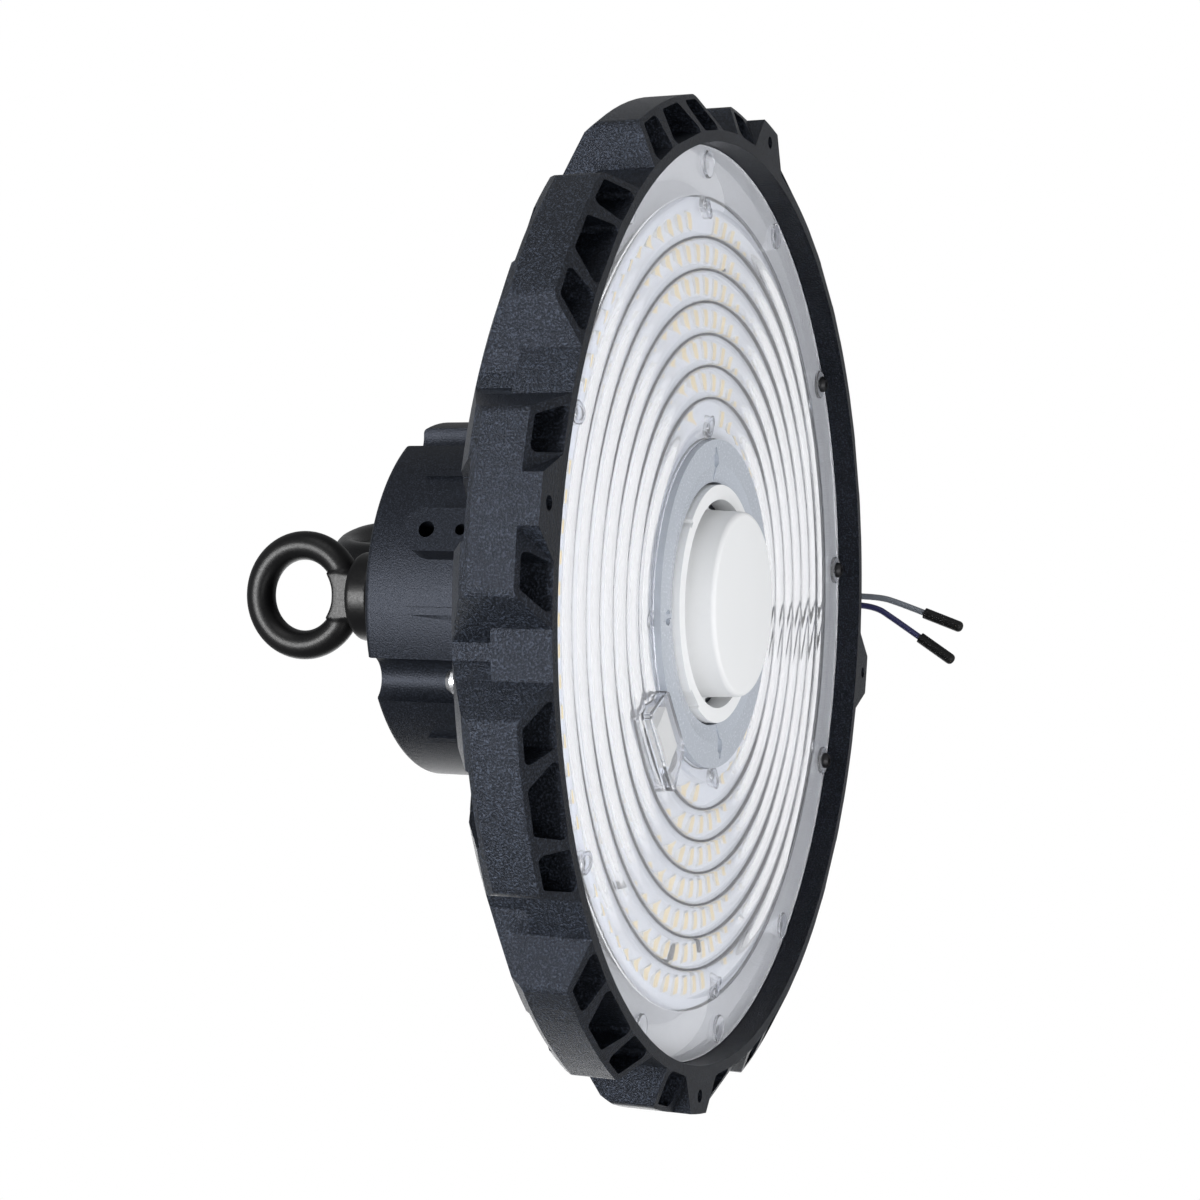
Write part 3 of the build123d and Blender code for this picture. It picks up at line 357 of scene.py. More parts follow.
# PVC, extruded: smooth mid grey
GREY_PVC = Finish("grey_pvc_insulation", "70757d", "646970", 0.35, Grain.SMOOTH)

# PVC, extruded: smooth dark blue-violet
PURPLE_PVC = Finish("navy_pvc_insulation", "2d2e58", "25264b", 0.4, Grain.SMOOTH)

# Polyolefin sleeve, shrunk on with heat: dull, even black
SHRINK_CAP = Finish("black_heat_shrink", "0c0c0d", "080808", 0.5, Grain.SMOOTH, 0.3, level=0.25)

# Solder mask over glass-fibre laminate, printed: even mid green with a faint gloss
CIRCUIT_GREEN = Finish("green_solder_mask", "1f5a35", "194c2c", 0.35, Grain.SMOOTH)

# Ferrite, pressed and sintered: dark grey and dry, with a fine grain
FERRITE = Finish("sintered_ferrite", "3a3a3c", "2c2c2e", 0.5, Grain.FINE, 0.5, 0.02)

# Plastic sleeve, shrunk over a can: smooth, glossy blue-black
CAPACITOR_SLEEVE = Finish("dark_shrink_sleeve", "20242e", "191c25", 0.3, Grain.SMOOTH)

# Copper wire, drawn and enamelled: orange-brown metal with a clear gloss
COPPER_WIRE = Finish("enamelled_copper", "b36a3c", "9a5730", 0.3, Grain.FINE, 0.6, 0.02, 0.8)


def link(data: bpy.types.ID, name: str) -> bpy.types.Object:
    """Make an object at the origin and put it in the scene.

    Args:
        data: Its mesh, curve, lamp or camera.
        name: Name of the object.

    Returns:
        The object.
    """
    made = bpy.data.objects.new(name, data)
    bpy.context.scene.collection.objects.link(made)
    return made


def opened(node: bpy.types.Object) -> bmesh.types.BMesh:
    """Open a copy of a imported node's mesh for editing, with its triangles' doubled points merged.

    Args:
        node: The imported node, which stays as it is.

    Returns:
        The editing mesh.
    """
    work = bmesh.new()
    work.from_mesh(node.data)
    bmesh.ops.remove_doubles(work, verts=work.verts, dist=MERGE_GAP)
    return work


def closed(work: bmesh.types.BMesh, name: str) -> bpy.types.Mesh:
    """Write an editing mesh to a new mesh and free it.

    Args:
        work: The editing mesh.
        name: Name of the new mesh.

    Returns:
        The new mesh.
    """
    mesh = bpy.data.meshes.new(name)
    work.to_mesh(mesh)
    work.free()
    return mesh


def baked(source: bpy.types.Object, name: str) -> bpy.types.Mesh:
    """Work out the mesh that an object's modifiers make of it.

    Args:
        source: The object.
        name: Name of the new mesh.

    Returns:
        The new plain mesh.
    """
    bpy.context.view_layer.update()
    graph = bpy.context.evaluated_depsgraph_get()
    mesh = bpy.data.meshes.new_from_object(source.evaluated_get(graph))
    mesh.name = name
    return mesh


def settle(piece: bpy.types.Object) -> None:
    """Turn a piece into the plain mesh that its modifiers make of it.

    Args:
        piece: The piece.
    """
    mesh = baked(piece, piece.name)
    piece.modifiers.clear()
    piece.data = mesh


def smooth(mesh: bpy.types.Mesh, angle: float = 35.0) -> None:
    """Shade a mesh smooth, and keep its sharper edges sharp.

    Args:
        mesh: The mesh.
        angle: Edges that turn by this many degrees or more stay sharp.
    """
    mesh.shade_smooth()
    work = bmesh.new()
    work.from_mesh(mesh)
    for edge in work.edges:
        edge.smooth = len(edge.link_faces) == 2 and edge.calc_face_angle(0) < math.radians(angle)
    work.to_mesh(mesh)
    work.free()


def block(work: bmesh.types.BMesh, size: Point, middle: Vector) -> None:
    """Add a block to an editing mesh.

    Args:
        work: The editing mesh.
        size: Length, width and height in millimetres.
        middle: The block's middle in metres.
    """
    made = bmesh.ops.create_cube(work, size=MM)
    bmesh.ops.scale(work, vec=size, verts=made["verts"])
    bmesh.ops.translate(work, vec=middle, verts=made["verts"])


def lathe(outline: Sequence[tuple[float, float]], segments: int, name: str,
          hollow: bool = True) -> bpy.types.Mesh:
    """Turn an outline about the light's axis.

    Args:
        outline: Points (radius, height) in millimetres.
        segments: Steps round the circle.
        name: Name of the mesh.
        hollow: True for a closed outline, False for an open one whose two ends get a flat lid.

    Returns:
        The closed mesh, its faces pointing outwards.
    """
    work = bmesh.new()
    rings = []
    for index in range(segments):
        angle = FULL_TURN * index / segments
        rings.append([work.verts.new(polar(radius, angle, height)) for radius, height in outline])
    steps = len(outline) if hollow else len(outline) - 1
    for index, ring in enumerate(rings):
        following = rings[(index + 1) % segments]
        for step in range(steps):
            after = (step + 1) % len(outline)
            work.faces.new((ring[step], ring[after], following[after], following[step]))
    if not hollow:
        for end in (0, -1):
            work.faces.new([ring[end] for ring in rings])
    bmesh.ops.recalc_face_normals(work, faces=work.faces)
    return closed(work, name)


def ring_tree() -> bpy.types.NodeTree:
    """Build the tree that sets copies of a piece on a circle, or return the one that is there.

    Returns:
        The tree. Its inputs are the piece, the ring's sizes in metres and radians, and its two finishes.
    """
    label = "ring_of_copies"
    if label in bpy.data.node_groups:
        return bpy.data.node_groups[label]
    tree = bpy.data.node_groups.new(label, "GeometryNodeTree")
    kinds = {"Piece": "Object", "Radius": "Float", "Count": "Int", "Start": "Float", "Spans": "Float",
             "Half Span": "Float", "Span Phase": "Float", "Inside": "Bool", "Box Angle": "Float",
             "Half Box": "Float", "Finish": "Material", "Second Finish": "Material"}
    for name, kind in kinds.items():
        tree.interface.new_socket(name, in_out="INPUT", socket_type=f"NodeSocket{kind}")
    tree.interface.new_socket("Geometry", in_out="OUTPUT", socket_type="NodeSocketGeometry")
    given = add_node(tree, "NodeGroupInput").outputs

    # The circle, turned to where its first copy stands
    circle = add_node(tree, "GeometryNodeMeshCircle", {}, {
        "Vertices": given["Count"], "Radius": given["Radius"]})
    turn = add_node(tree, "FunctionNodeAxisAngleToRotation", {}, {
        "Axis": (0.0, 0.0, 1.0), "Angle": given["Start"]})
    started = add_node(tree, "GeometryNodeTransform", {}, {
        "Geometry": circle.outputs["Mesh"], "Rotation": turn.outputs[0]})

    # Each point's angle tells how far it is from the middle of the nearest span, and from the box
    where = add_node(tree, "GeometryNodeInputPosition")
    split = add_node(tree, "ShaderNodeSeparateXYZ", {}, {0: where.outputs[0]})
    known = {name: given[name] for name in kinds}
    known.update({"X": split.outputs["X"], "Y": split.outputs["Y"]})
    sums = {
        "angle": ("ARCTAN2", "Y", "X"),
        "pitch": ("DIVIDE", math.tau, "Spans"),
        "half pitch": ("MULTIPLY", "pitch", 0.5),
        "turned": ("SUBTRACT", "angle", "Span Phase"),
        "shifted": ("ADD", "turned", "half pitch"),
        "folded": ("FLOORED_MODULO", "shifted", "pitch"),
        "from middle": ("SUBTRACT", "folded", "half pitch"),
        "away": ("ABSOLUTE", "from middle"),
        "in span": ("LESS_THAN", "away", "Half Span"),
        "from box": ("SUBTRACT", "angle", "Box Angle"),
        "box away": ("ABSOLUTE", "from box"),
        "in box": ("LESS_THAN", "box away", "Half Box"),
    }
    for name, (operation, *terms) in sums.items():
        inputs = {index: known.get(term, term) for index, term in enumerate(terms)}
        known[name] = add_node(tree, "ShaderNodeMath", {"operation": operation}, inputs).outputs[0]
    spanned = add_node(tree, "FunctionNodeBooleanMath", {"operation": "XOR"}, {
        0: known["in span"], 1: known["Inside"]})
    gone = add_node(tree, "FunctionNodeBooleanMath", {"operation": "OR"}, {
        0: spanned.outputs[0], 1: known["in box"]})
    kept = add_node(tree, "GeometryNodeDeleteGeometry", {"domain": "POINT"}, {
        "Geometry": started.outputs[0], "Selection": gone.outputs[0]})

    # The copies as real faces, each with the finish of its own slot
    piece = add_node(tree, "GeometryNodeObjectInfo", {}, {"Object": given["Piece"]})
    copies = add_node(tree, "GeometryNodeInstanceOnPoints", {}, {
        "Points": kept.outputs[0], "Instance": piece.outputs["Geometry"]})
    slot = add_node(tree, "GeometryNodeInputMaterialIndex")
    first_slot = add_node(tree, "FunctionNodeBooleanMath", {"operation": "NOT"}, {0: slot.outputs[0]})
    real = add_node(tree, "GeometryNodeRealizeInstances", {}, {0: copies.outputs[0]})
    finished = add_node(tree, "GeometryNodeSetMaterial", {}, {
        "Geometry": real.outputs[0], "Selection": first_slot.outputs[0], "Material": given["Finish"]})
    all_finished = add_node(tree, "GeometryNodeSetMaterial", {}, {
        "Geometry": finished.outputs[0], "Selection": slot.outputs[0],
        "Material": given["Second Finish"]})
    add_node(tree, "NodeGroupOutput", {}, {0: all_finished.outputs[0]})
    return tree


@dataclass(frozen=True)
class Ring:
    """Copies of a piece, spread evenly on a circle about the light's axis.

    Attributes:
        radius: Radius of the circle.
        count: Copies round the full circle.
        start: Angle of the first copy.
        spans: Number of evenly spread spans that have no copies.
        span_angle: Width of a span, below nought for none.
        span_phase: Angle of the first span's middle.
        inside: True where the copies stand in the spans alone.
        box_angle: Angle of the middle of one more stretch with no copies.
        box_half_angle: Half the width of that stretch, below nought for none.
    """

    radius: float
    count: int
    start: float = 0.0
    spans: int = 1
    span_angle: float = -1.0
    span_phase: float = 0.0
    inside: bool = False
    box_angle: float = 0.0
    box_half_angle: float = -1.0

    def copies(self, piece: bpy.types.Object) -> bpy.types.Mesh:
        """Set copies of a piece on the ring.

        Args:
            piece: The piece, with its finishes in its slots, standing on the light's axis.

        Returns:
            One plain mesh of all the copies.
        """
        tree = ring_tree()
        finishes = list(piece.data.materials)
        values = {
            "Piece": piece,
            "Radius": self.radius * MM,
            "Count": self.count,
            "Start": math.radians(self.start),
            "Spans": float(self.spans),
            "Half Span": math.radians(self.span_angle / 2),
            "Span Phase": math.radians(self.span_phase),
            "Inside": self.inside,
            "Box Angle": math.radians(self.box_angle),
            "Half Box": math.radians(self.box_half_angle),
            "Finish": finishes[0],
            "Second Finish": finishes[-1],
        }
        holder = link(bpy.data.meshes.new("ring"), "ring")
        nodes = holder.modifiers.new("ring", "NODES")
        nodes.node_group = tree
        for item in tree.interface.items_tree:
            if item.in_out == "INPUT":
                nodes[item.identifier] = values[item.name]
        mesh = baked(holder, "ring")
        bpy.data.objects.remove(holder)
        return mesh


@dataclass(frozen=True)
class ScrewGroups:
    """Groups of neighbouring bosses on the cover's rim that hold a dark screw.

    Attributes:
        count: Number of evenly spread groups.
        angle: Width of a group.
        phase: Angle of the first group's middle.
    """

    count: int = 2
    angle: float = 90.0
    phase: float = 84.84

    def hold(self, angle: float) -> bool:
        """Tell whether a group reaches over an angle.

        Args:
            angle: The angle in degrees.

        Returns:
            True where it does.
        """
        pitch = FULL_TURN / self.count
        return abs((angle - self.phase + pitch / 2) % pitch - pitch / 2) < self.angle / 2


SCREW_GROUPS = ScrewGroups()


@dataclass
class Assembly:
    """A group of pieces that is built and dressed together.

    Attributes:
        nodes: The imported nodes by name.
    """

    nodes: dict[str, bpy.types.Object]

    def build(self) -> None:
        """Make and dress the pieces, which each assembly does in its own way."""
        raise NotImplementedError(type(self).__name__)

    def paint(self, finish: Surface, *names: str) -> None:
        """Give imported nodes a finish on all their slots.

        Args:
            finish: The finish.
            names: Names of the nodes.
        """
        for name in names:
            mesh = self.nodes[name].data
            mesh.materials.clear()
            mesh.materials.append(finish.material())
            log.info("painted %s with %s", name, finish.name)

    def keep(self, piece: bpy.types.Object, slot: str, *replaced: str) -> bpy.types.Object:
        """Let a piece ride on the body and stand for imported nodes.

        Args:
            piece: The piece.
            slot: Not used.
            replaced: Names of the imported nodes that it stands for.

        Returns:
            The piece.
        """
        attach(piece, ROOT)
        if replaced:
            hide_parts(*replaced)
        log.info("made %s", piece.name)
        return piece

    def parted(self, node: str, name: str, finish: Finish,
               wanted: Callable[[Vector], bool]) -> bpy.types.Object:
        """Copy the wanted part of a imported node.

        Args:
            node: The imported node.
            name: Name of the piece.
            finish: Its finish.
            wanted: Tells of a point in metres whether it is wanted.

        Returns:
            The piece.
        """
        work = opened(self.nodes[node])
        spare = [vert for vert in work.verts if not wanted(vert.co)]
        bmesh.ops.delete(work, geom=spare, context="VERTS")
        mesh = closed(work, name)
        smooth(mesh)
        mesh.materials.append(finish.material())
        return link(mesh, name)

    def softened(self, node: str, name: str, finish: Finish, width: float,
                 steps: int = 2) -> bpy.types.Object:
        """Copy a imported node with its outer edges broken, as a casting or moulding has them.

        Args:
            node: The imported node.
            name: Name of the piece.
            finish: Its finish.
            width: Width of the broken edge in millimetres.
            steps: Steps across the edge.

        Returns:
            The piece, a plain mesh at the origin.
        """
        flat = math.radians(0.1)
        broken = math.radians(30.0)
        crisp = 12.0
        work = opened(self.nodes[node])
        bmesh.ops.dissolve_limit(work, angle_limit=flat, verts=work.verts, edges=work.edges)
        weight = work.edges.layers.float.new("bevel_weight_edge")
        for line in work.edges:
            turn = line.calc_face_angle_signed(0.0) if len(line.link_faces) == 2 else 0.0
            line[weight] = 1.0 if turn > broken else 0.0
        mesh = closed(work, name)
        smooth(mesh, crisp)
        mesh.materials.append(finish.material())
        piece = link(mesh, name)
        bevel = piece.modifiers.new("edges", "BEVEL")
        bevel.harden_normals = True
        bevel.width = width * MM
        bevel.segments = steps
        bevel.limit_method = "WEIGHT"
        bevel.use_clamp_overlap = True
        bevel.miter_outer = "MITER_ARC"
        settle(piece)
        return piece


@dataclass
class Casting(Assembly):
    """Heatsink with its lobes, pockets, tabs and fins.

    Attributes:
        edge: Width of its broken edges.
    """

    edge: float = 0.7

    def build(self) -> None:
        """Make the casting with broken edges."""
        body = self.softened("heatsink", "heatsink_casting", CAST_COAT, self.edge)
        self.keep(body, "casting_black", "heatsink")


@dataclass(frozen=True)
class Tube:
    """A short upright tube moulded on the cover, or a plug where its bore is nought.

    Attributes:
        radius: Outer radius.
        bore: Radius of the bore.
        front: Height of its front end.
        back: Height of its back end.
        chamfer: Width of the chamfer round its front end.
        steps: Steps round it.
    """

    radius: float
    bore: float
    front: float
    back: float
    chamfer: float = 0.35
    steps: int = 32

    def solid(self) -> bpy.types.Object:
        """Make the tube on the light's axis, in clear plastic.

        Returns:
            The tube.
        """
        outline = [(self.radius - self.chamfer, self.front), (self.radius, self.front + self.chamfer),
                   (self.radius, self.back)]
        if self.bore:
            outline += [(self.bore, self.back), (self.bore, self.front)]
        mesh = lathe(outline, self.steps, "tube", hollow=self.bore > 0)
        mesh.materials.append(CLEAR_PLASTIC.material())
        return link(mesh, "tube")


@dataclass
class LensCover(Assembly):
    """Clear cover with seven raised rings, bosses, posts and the terminal's box.

    Attributes:
        inner_radius: Radius of the opening for the sensor.
        outer_radius: Radius of the rim.
        flange_inner_radius: Radius at which the thicker rim starts.
        flange_front: Height of the rim's front face, from which the rings rise.
        flange_back: Height of the rim's back face, a little off the seal.
        back: Height of the back face inside the rim, into which the rings are hollowed.
        ring_rise: How far a ring stands out of the front face.
        hollow_rise: How deep a ring is hollowed from behind.
        groove: Height of the groove between two rings.
        ring_first: Radius of the innermost ring's middle.
        ring_pitch: Distance from ring to ring.
        ring_count: Number of rings.
        ring_half_width: Half the width of a ring.
        ring_steps: Steps across a ring.
        segments: Steps round the cover.
        boss_place: Radius of the circle of bosses.
        boss_radius: Outer radius of a boss with a screw.
        boss_bore: Radius of its bore.
        boss_rise: How far a boss stands out.
        boss_count: Number of bosses.
        boss_air: Gap between a boss and the face behind it.
        plug_radius: Radius of a boss without a screw.
        post_place: Radius of the outer circle of posts.
        post_count: Number of posts on it.
        inner_post_place: Radius of the inner circle of posts.
        inner_post_count: Number of posts on it.
        post_radius: Outer radius of a post.
        post_bore: Radius of its bore.
        post_front: Height of its front end.
        post_back: Height of its back end, just off the board.
        box_place: Radius of the middle of the terminal's box.
        box_length: Its length along the radius.
        box_inner_width: Its width at the end near the sensor.
        box_outer_width: Its width at the other end.
        box_top: Height of its front face.
        box_wall: Its wall.
        box_corner: Size of its rounded corners.
        box_corner_steps: Steps round such a corner.
        box_reach: How far the hollowing reaches out behind.
        crisp: Edges that turn by this many degrees or more stay sharp.
    """

    inner_radius: float = 52.3
    outer_radius: float = 143.2
    flange_inner_radius: float = 127.5
    flange_front: float = 8.0
    flange_back: float = 10.15
    back: float = 9.4
    ring_rise: float = 1.4
    hollow_rise: float = 1.0
    groove: float = 8.6
    ring_first: float = 60.0
    ring_pitch: float = 10.0
    ring_count: int = 7
    ring_half_width: float = 4.6
    ring_steps: int = 10
    segments: int = 240
    boss_place: float = 137.5
    boss_radius: float = 5.0
    boss_bore: float = 1.7
    boss_rise: float = 1.0
    boss_count: int = 12
    boss_air: float = 0.04
    plug_radius: float = 4.4
    post_place: float = 124.0
    post_count: int = 6
    inner_post_place: float = 56.0
    inner_post_count: int = 4
    post_radius: float = 3.5
    post_bore: float = 2.2
    post_front: float = 7.9
    post_back: float = 10.5
    box_place: float = 61.0
    box_length: float = 16.0
    box_inner_width: float = 24.0
    box_outer_width: float = 32.0
    box_top: float = 4.4
    box_wall: float = 1.2
    box_corner: float = 1.2
    box_corner_steps: int = 3
    box_reach: float = 1.0
    crisp: float = 40.0

    def arch(self, place: float, base: float, rise: float) -> list[tuple[float, float]]:
        """Work out one shallow arch across a raised ring, from its inner side outwards.

        Args:
            place: Radius of the ring's middle.
            base: Height of the arch's feet.
            rise: How far the arch stands out.

        Returns:
            Its points (radius, height).
        """
        points = []
        for step in range(self.ring_steps + 1):
            across = 2 * step / self.ring_steps - 1
            points.append((place + across * self.ring_half_width, base - rise * (1 - across ** 2)))
        return points

    def section(self) -> list[tuple[float, float]]:
        """Work out the closed section of the cover, its rings hollowed from behind.

        Returns:
            Its points (radius, height).
        """
        front = [(self.inner_radius, self.flange_front)]
        back = [(self.inner_radius, self.back)]
        for index in range(self.ring_count):
            middle = self.ring_first + index * self.ring_pitch
            if index:
                front.append((middle - self.ring_pitch / 2, self.groove))
            front += self.arch(middle, self.flange_front, self.ring_rise)
            back += self.arch(middle, self.back, self.hollow_rise)
        front += [(self.outer_radius, self.flange_front), (self.outer_radius, self.flange_back)]
        back += [(self.flange_inner_radius, self.back), (self.flange_inner_radius, self.flange_back)]
        return front + back[::-1]

    def box(self, inset: float, front: float, back: float) -> bpy.types.Object:
        """Make the terminal's box as a solid with rounded upright corners.

        Args:
            inset: How far its sides are moved inwards.
            front: Height of its front face.
            back: Height of its back face.

        Returns:
            The box.
        """
        near = self.box_place - self.box_length / 2 + inset
        far = self.box_place + self.box_length / 2 - inset
        half_near = self.box_inner_width / 2 - inset
        half_far = self.box_outer_width / 2 - inset
        ground = [(near, -half_near), (far, -half_far), (far, half_far), (near, half_near)]
        turn = Matrix.Rotation(math.radians(TERMINAL_ANGLE), 4, "Z")
        work = bmesh.new()
        low = [work.verts.new(turn @ place(x, y, front)) for x, y in ground]
        high = [work.verts.new(turn @ place(x, y, back)) for x, y in ground]
        work.faces.new(low)
        work.faces.new(high[::-1])
        for step in range(len(ground)):
            after = (step + 1) % len(ground)
            work.faces.new((low[after], low[step], high[step], high[after]))
        bmesh.ops.recalc_face_normals(work, faces=work.faces)
        upright = [edge for edge in work.edges if (edge.verts[0] in low) != (edge.verts[1] in low)]
        bmesh.ops.bevel(work, geom=upright, offset=self.box_corner * MM,
                        segments=self.box_corner_steps, affect="EDGES")
        return link(closed(work, "box"), "box")

    def blank(self) -> bpy.types.Mesh:
        """Turn the ringed cover, join the terminal's box to it and hollow the box.

        Returns:
            The cover without its bosses and posts.
        """
        cover = link(lathe(self.section(), self.segments, "lens_blank"), "lens_blank")
        outer = self.box(0.0, self.box_top, self.back)
        inner = self.box(self.box_wall, self.box_top + self.box_wall, self.back + self.box_reach)
        for tool, operation in ((outer, "UNION"), (inner, "DIFFERENCE")):
            cut = cover.modifiers.new(operation.lower(), "BOOLEAN")
            cut.object = tool
            cut.operation = operation
            cut.solver = "EXACT"
        mesh = baked(cover, "lens_blank")
        for used in (cover, outer, inner):
            bpy.data.objects.remove(used)
        return mesh

    def mouldings(self) -> list[tuple[Tube, Ring]]:
        """List what is moulded on the cover.

        Returns:
            Each kind of tube with the ring that it stands on.
        """
        top = self.flange_front - self.boss_rise
        foot = self.flange_front - self.boss_air
        boss = Tube(self.boss_radius, self.boss_bore, top, foot)
        plug = Tube(self.plug_radius, 0.0, top, foot)
        post = Tube(self.post_radius, self.post_bore, self.post_front, self.post_back)
        groups = SCREW_GROUPS
        bosses = (self.boss_place, self.boss_count, FIRST_VALLEY, groups.count, groups.angle, groups.phase)
        return [
            (boss, Ring(*bosses, inside=True)),
            (plug, Ring(*bosses)),
            (post, Ring(self.post_place, self.post_count, FIRST_VALLEY)),
            (post, Ring(self.inner_post_place, self.inner_post_count, FIRST_VALLEY)),
        ]

    def build(self) -> None:
        """Make the cover, and paint the seals."""
        work = bmesh.new()
        work.from_mesh(self.blank())
        for tube, ring in self.mouldings():
            piece = tube.solid()
            work.from_mesh(ring.copies(piece))
            bpy.data.objects.remove(piece)
        bmesh.ops.recalc_face_normals(work, faces=work.faces)
        mesh = closed(work, "lens_moulding")
        smooth(mesh, self.crisp)
        mesh.materials.append(CLEAR_PLASTIC.material())
        self.keep(link(mesh, "lens_moulding"), "clear_lens", "lens_cover")
        self.paint(WHITE_SILICONE, "rim_seal", "centre_seal")


@dataclass
class LedBoard(Assembly):
    """White board with its LED packages and the wire terminal.

    Attributes:
        front: Height of the board's front face.
        package_size: Length, width and height of a package.
        window_inset: Width of the rim round a package's window.
        part_size: Length, width and height of a dark part.
        parts: Places of the dark parts, each a radius and an angle.
        rings: The rings of packages. The outermost leaves room for the cover's posts, the innermost for
            its inner posts, and the two innermost for the wire terminal.
    """

    front: float = 10.6
    package_size: Point = (3.9, 3.4, 0.65)
    window_inset: float = 0.2
    part_size: Point = (3.6, 1.5, 0.9)
    parts: tuple[tuple[float, float], ...] = (
        (107.0, 5.5), (66.2, 16.4), (110.1, -165.2), (108.6, -177.9), (102.4, -141.7), (95.0, 62.0))
    rings: tuple[Ring, ...] = (
        Ring(120.0, 90, spans=6, span_angle=10.3, span_phase=FIRST_VALLEY),
        Ring(110.0, 82),
        Ring(100.0, 74),
        Ring(90.0, 67),
        Ring(80.0, 59),
        Ring(70.0, 51, box_angle=TERMINAL_ANGLE, box_half_angle=17.5),
        Ring(60.0, 42, spans=4, span_angle=17.0, span_phase=FIRST_VALLEY,
             box_angle=TERMINAL_ANGLE, box_half_angle=17.5),
    )

    def package(self) -> bpy.types.Object:
        """Make one LED package on the light's axis: a white body with a yellow window facing down.

        Returns:
            The package, its back on the board and its long side along X, as all of them lie.
        """
        work = bmesh.new()
        block(work, self.package_size, place(0, 0, self.front - self.package_size[2] / 2))
        window = min(work.faces, key=lambda face: face.calc_center_median().z)
        bmesh.ops.inset_region(work, faces=[window], thickness=self.window_inset * MM)
        window.material_index = 1
        mesh = closed(work, "led_package")
        mesh.materials.append(PACKAGE_WHITE.material())
        mesh.materials.append(PHOSPHOR.material())
        return link(mesh, "led_package")

    def packages(self) -> bpy.types.Object:
        """Set the packages on their rings.

        Returns:
            All packages as one piece.
        """
        package = self.package()
        work = bmesh.new()
        for ring in self.rings:
            work.from_mesh(ring.copies(package))
        mesh = closed(work, "led_packages")
        for material in package.data.materials:
            mesh.materials.append(material)
        bpy.data.objects.remove(package)
        return link(mesh, "led_packages")

    def dark_parts(self) -> bpy.types.Object:
        """Set the few dark parts between the packages.

        Returns:
            All of them as one piece.
        """
        work = bmesh.new()
        for radius, angle in self.parts:
            block(work, self.part_size, polar(radius, angle, self.front - self.part_size[2] / 2))
        mesh = closed(work, "board_parts")
        mesh.materials.append(PART_RESIN.material())
        return link(mesh, "board_parts")

    def build(self) -> None:
        """Set what stands on the board, and paint the board and the terminal."""
        self.keep(self.packages(), "board_white")
        self.keep(self.dark_parts(), "board_white")
        self.paint(SOLDER_MASK, "led_board")
        self.paint(TERMINAL_PLASTIC, "wire_terminal")


@dataclass
class Sensor(Assembly):
    """Centre ring, sensor base, cap and board.

    Attributes:
        edge: Width of the broken edges of ring and base.
        cap_edge: Width of the cap's broken edges.
        cap_steps: Steps across the cap's edges.
    """

    edge: float = 0.5
    cap_edge: float = 0.9
    cap_steps: int = 3

    def build(self) -> None:
        """Make the mouldings with broken edges, and paint the board."""
        ring = self.softened("centre_ring", "centre_ring_moulding", RING_PLASTIC, self.edge)
        self.keep(ring, "ring_grey", "centre_ring")
        base = self.softened("sensor_base", "sensor_base_moulding", SENSOR_PLASTIC, self.edge)
        self.keep(base, "sensor_white", "sensor_base")
        cap = self.softened("sensor_cap", "sensor_cap_moulding", SENSOR_PLASTIC, self.cap_edge,
                            self.cap_steps)
        self.keep(cap, "sensor_white", "sensor_cap")
        self.paint(CIRCUIT_GREEN, "sensor_board")


@dataclass
class Driver(Assembly):
    """Driver housing, its screws and what is inside it.

    Attributes:
        edge: Width of the housing's broken edges.
    """

    edge: float = 0.3

    def build(self) -> None:
        """Make the housing with broken edges, and paint the rest."""
        housing = self.softened("driver_housing", "driver_housing_casting", HOUSING_COAT, self.edge)
        self.keep(housing, "housing_black", "driver_housing")
        self.paint(BLACK_SILICONE, "driver_seal")
        self.paint(BRIGHT_STEEL, "driver_screws")
        self.paint(CIRCUIT_GREEN, "driver_board")
        self.paint(FERRITE, "driver_transformer")
        self.paint(CAPACITOR_SLEEVE, "driver_capacitors", "driver_transistors")
        self.paint(COPPER_WIRE, "driver_inductor")


@dataclass
class Hanging(Assembly):
    """Eye bolt and washer.

    Attributes:
        voxel: Size of the cells that the bolt is remade from.
        rounds: Rounds of smoothing, which run the joins of ring, neck and collar together.
        pull: How far each round moves a point.
    """

    voxel: float = 0.45
    rounds: int = 22
    pull: float = 0.5

    def build(self) -> None:
        """Make the forged eye bolt in one skin, and paint the washer."""
        bolt = link(closed(opened(self.nodes["eye_bolt"]), "eye_bolt_forging"), "eye_bolt_forging")
        remesh = bolt.modifiers.new("one_skin", "REMESH")
        remesh.mode = "VOXEL"
        remesh.voxel_size = self.voxel * MM
        run = bolt.modifiers.new("run_together", "SMOOTH")
        run.factor = self.pull
        run.iterations = self.rounds
        settle(bolt)
        bolt.data.shade_smooth()
        bolt.data.materials.clear()
        bolt.data.materials.append(EYE_PAINT.material())
        self.keep(bolt, "eye_black", "eye_bolt")
        self.paint(BRIGHT_STEEL, "eye_washer")


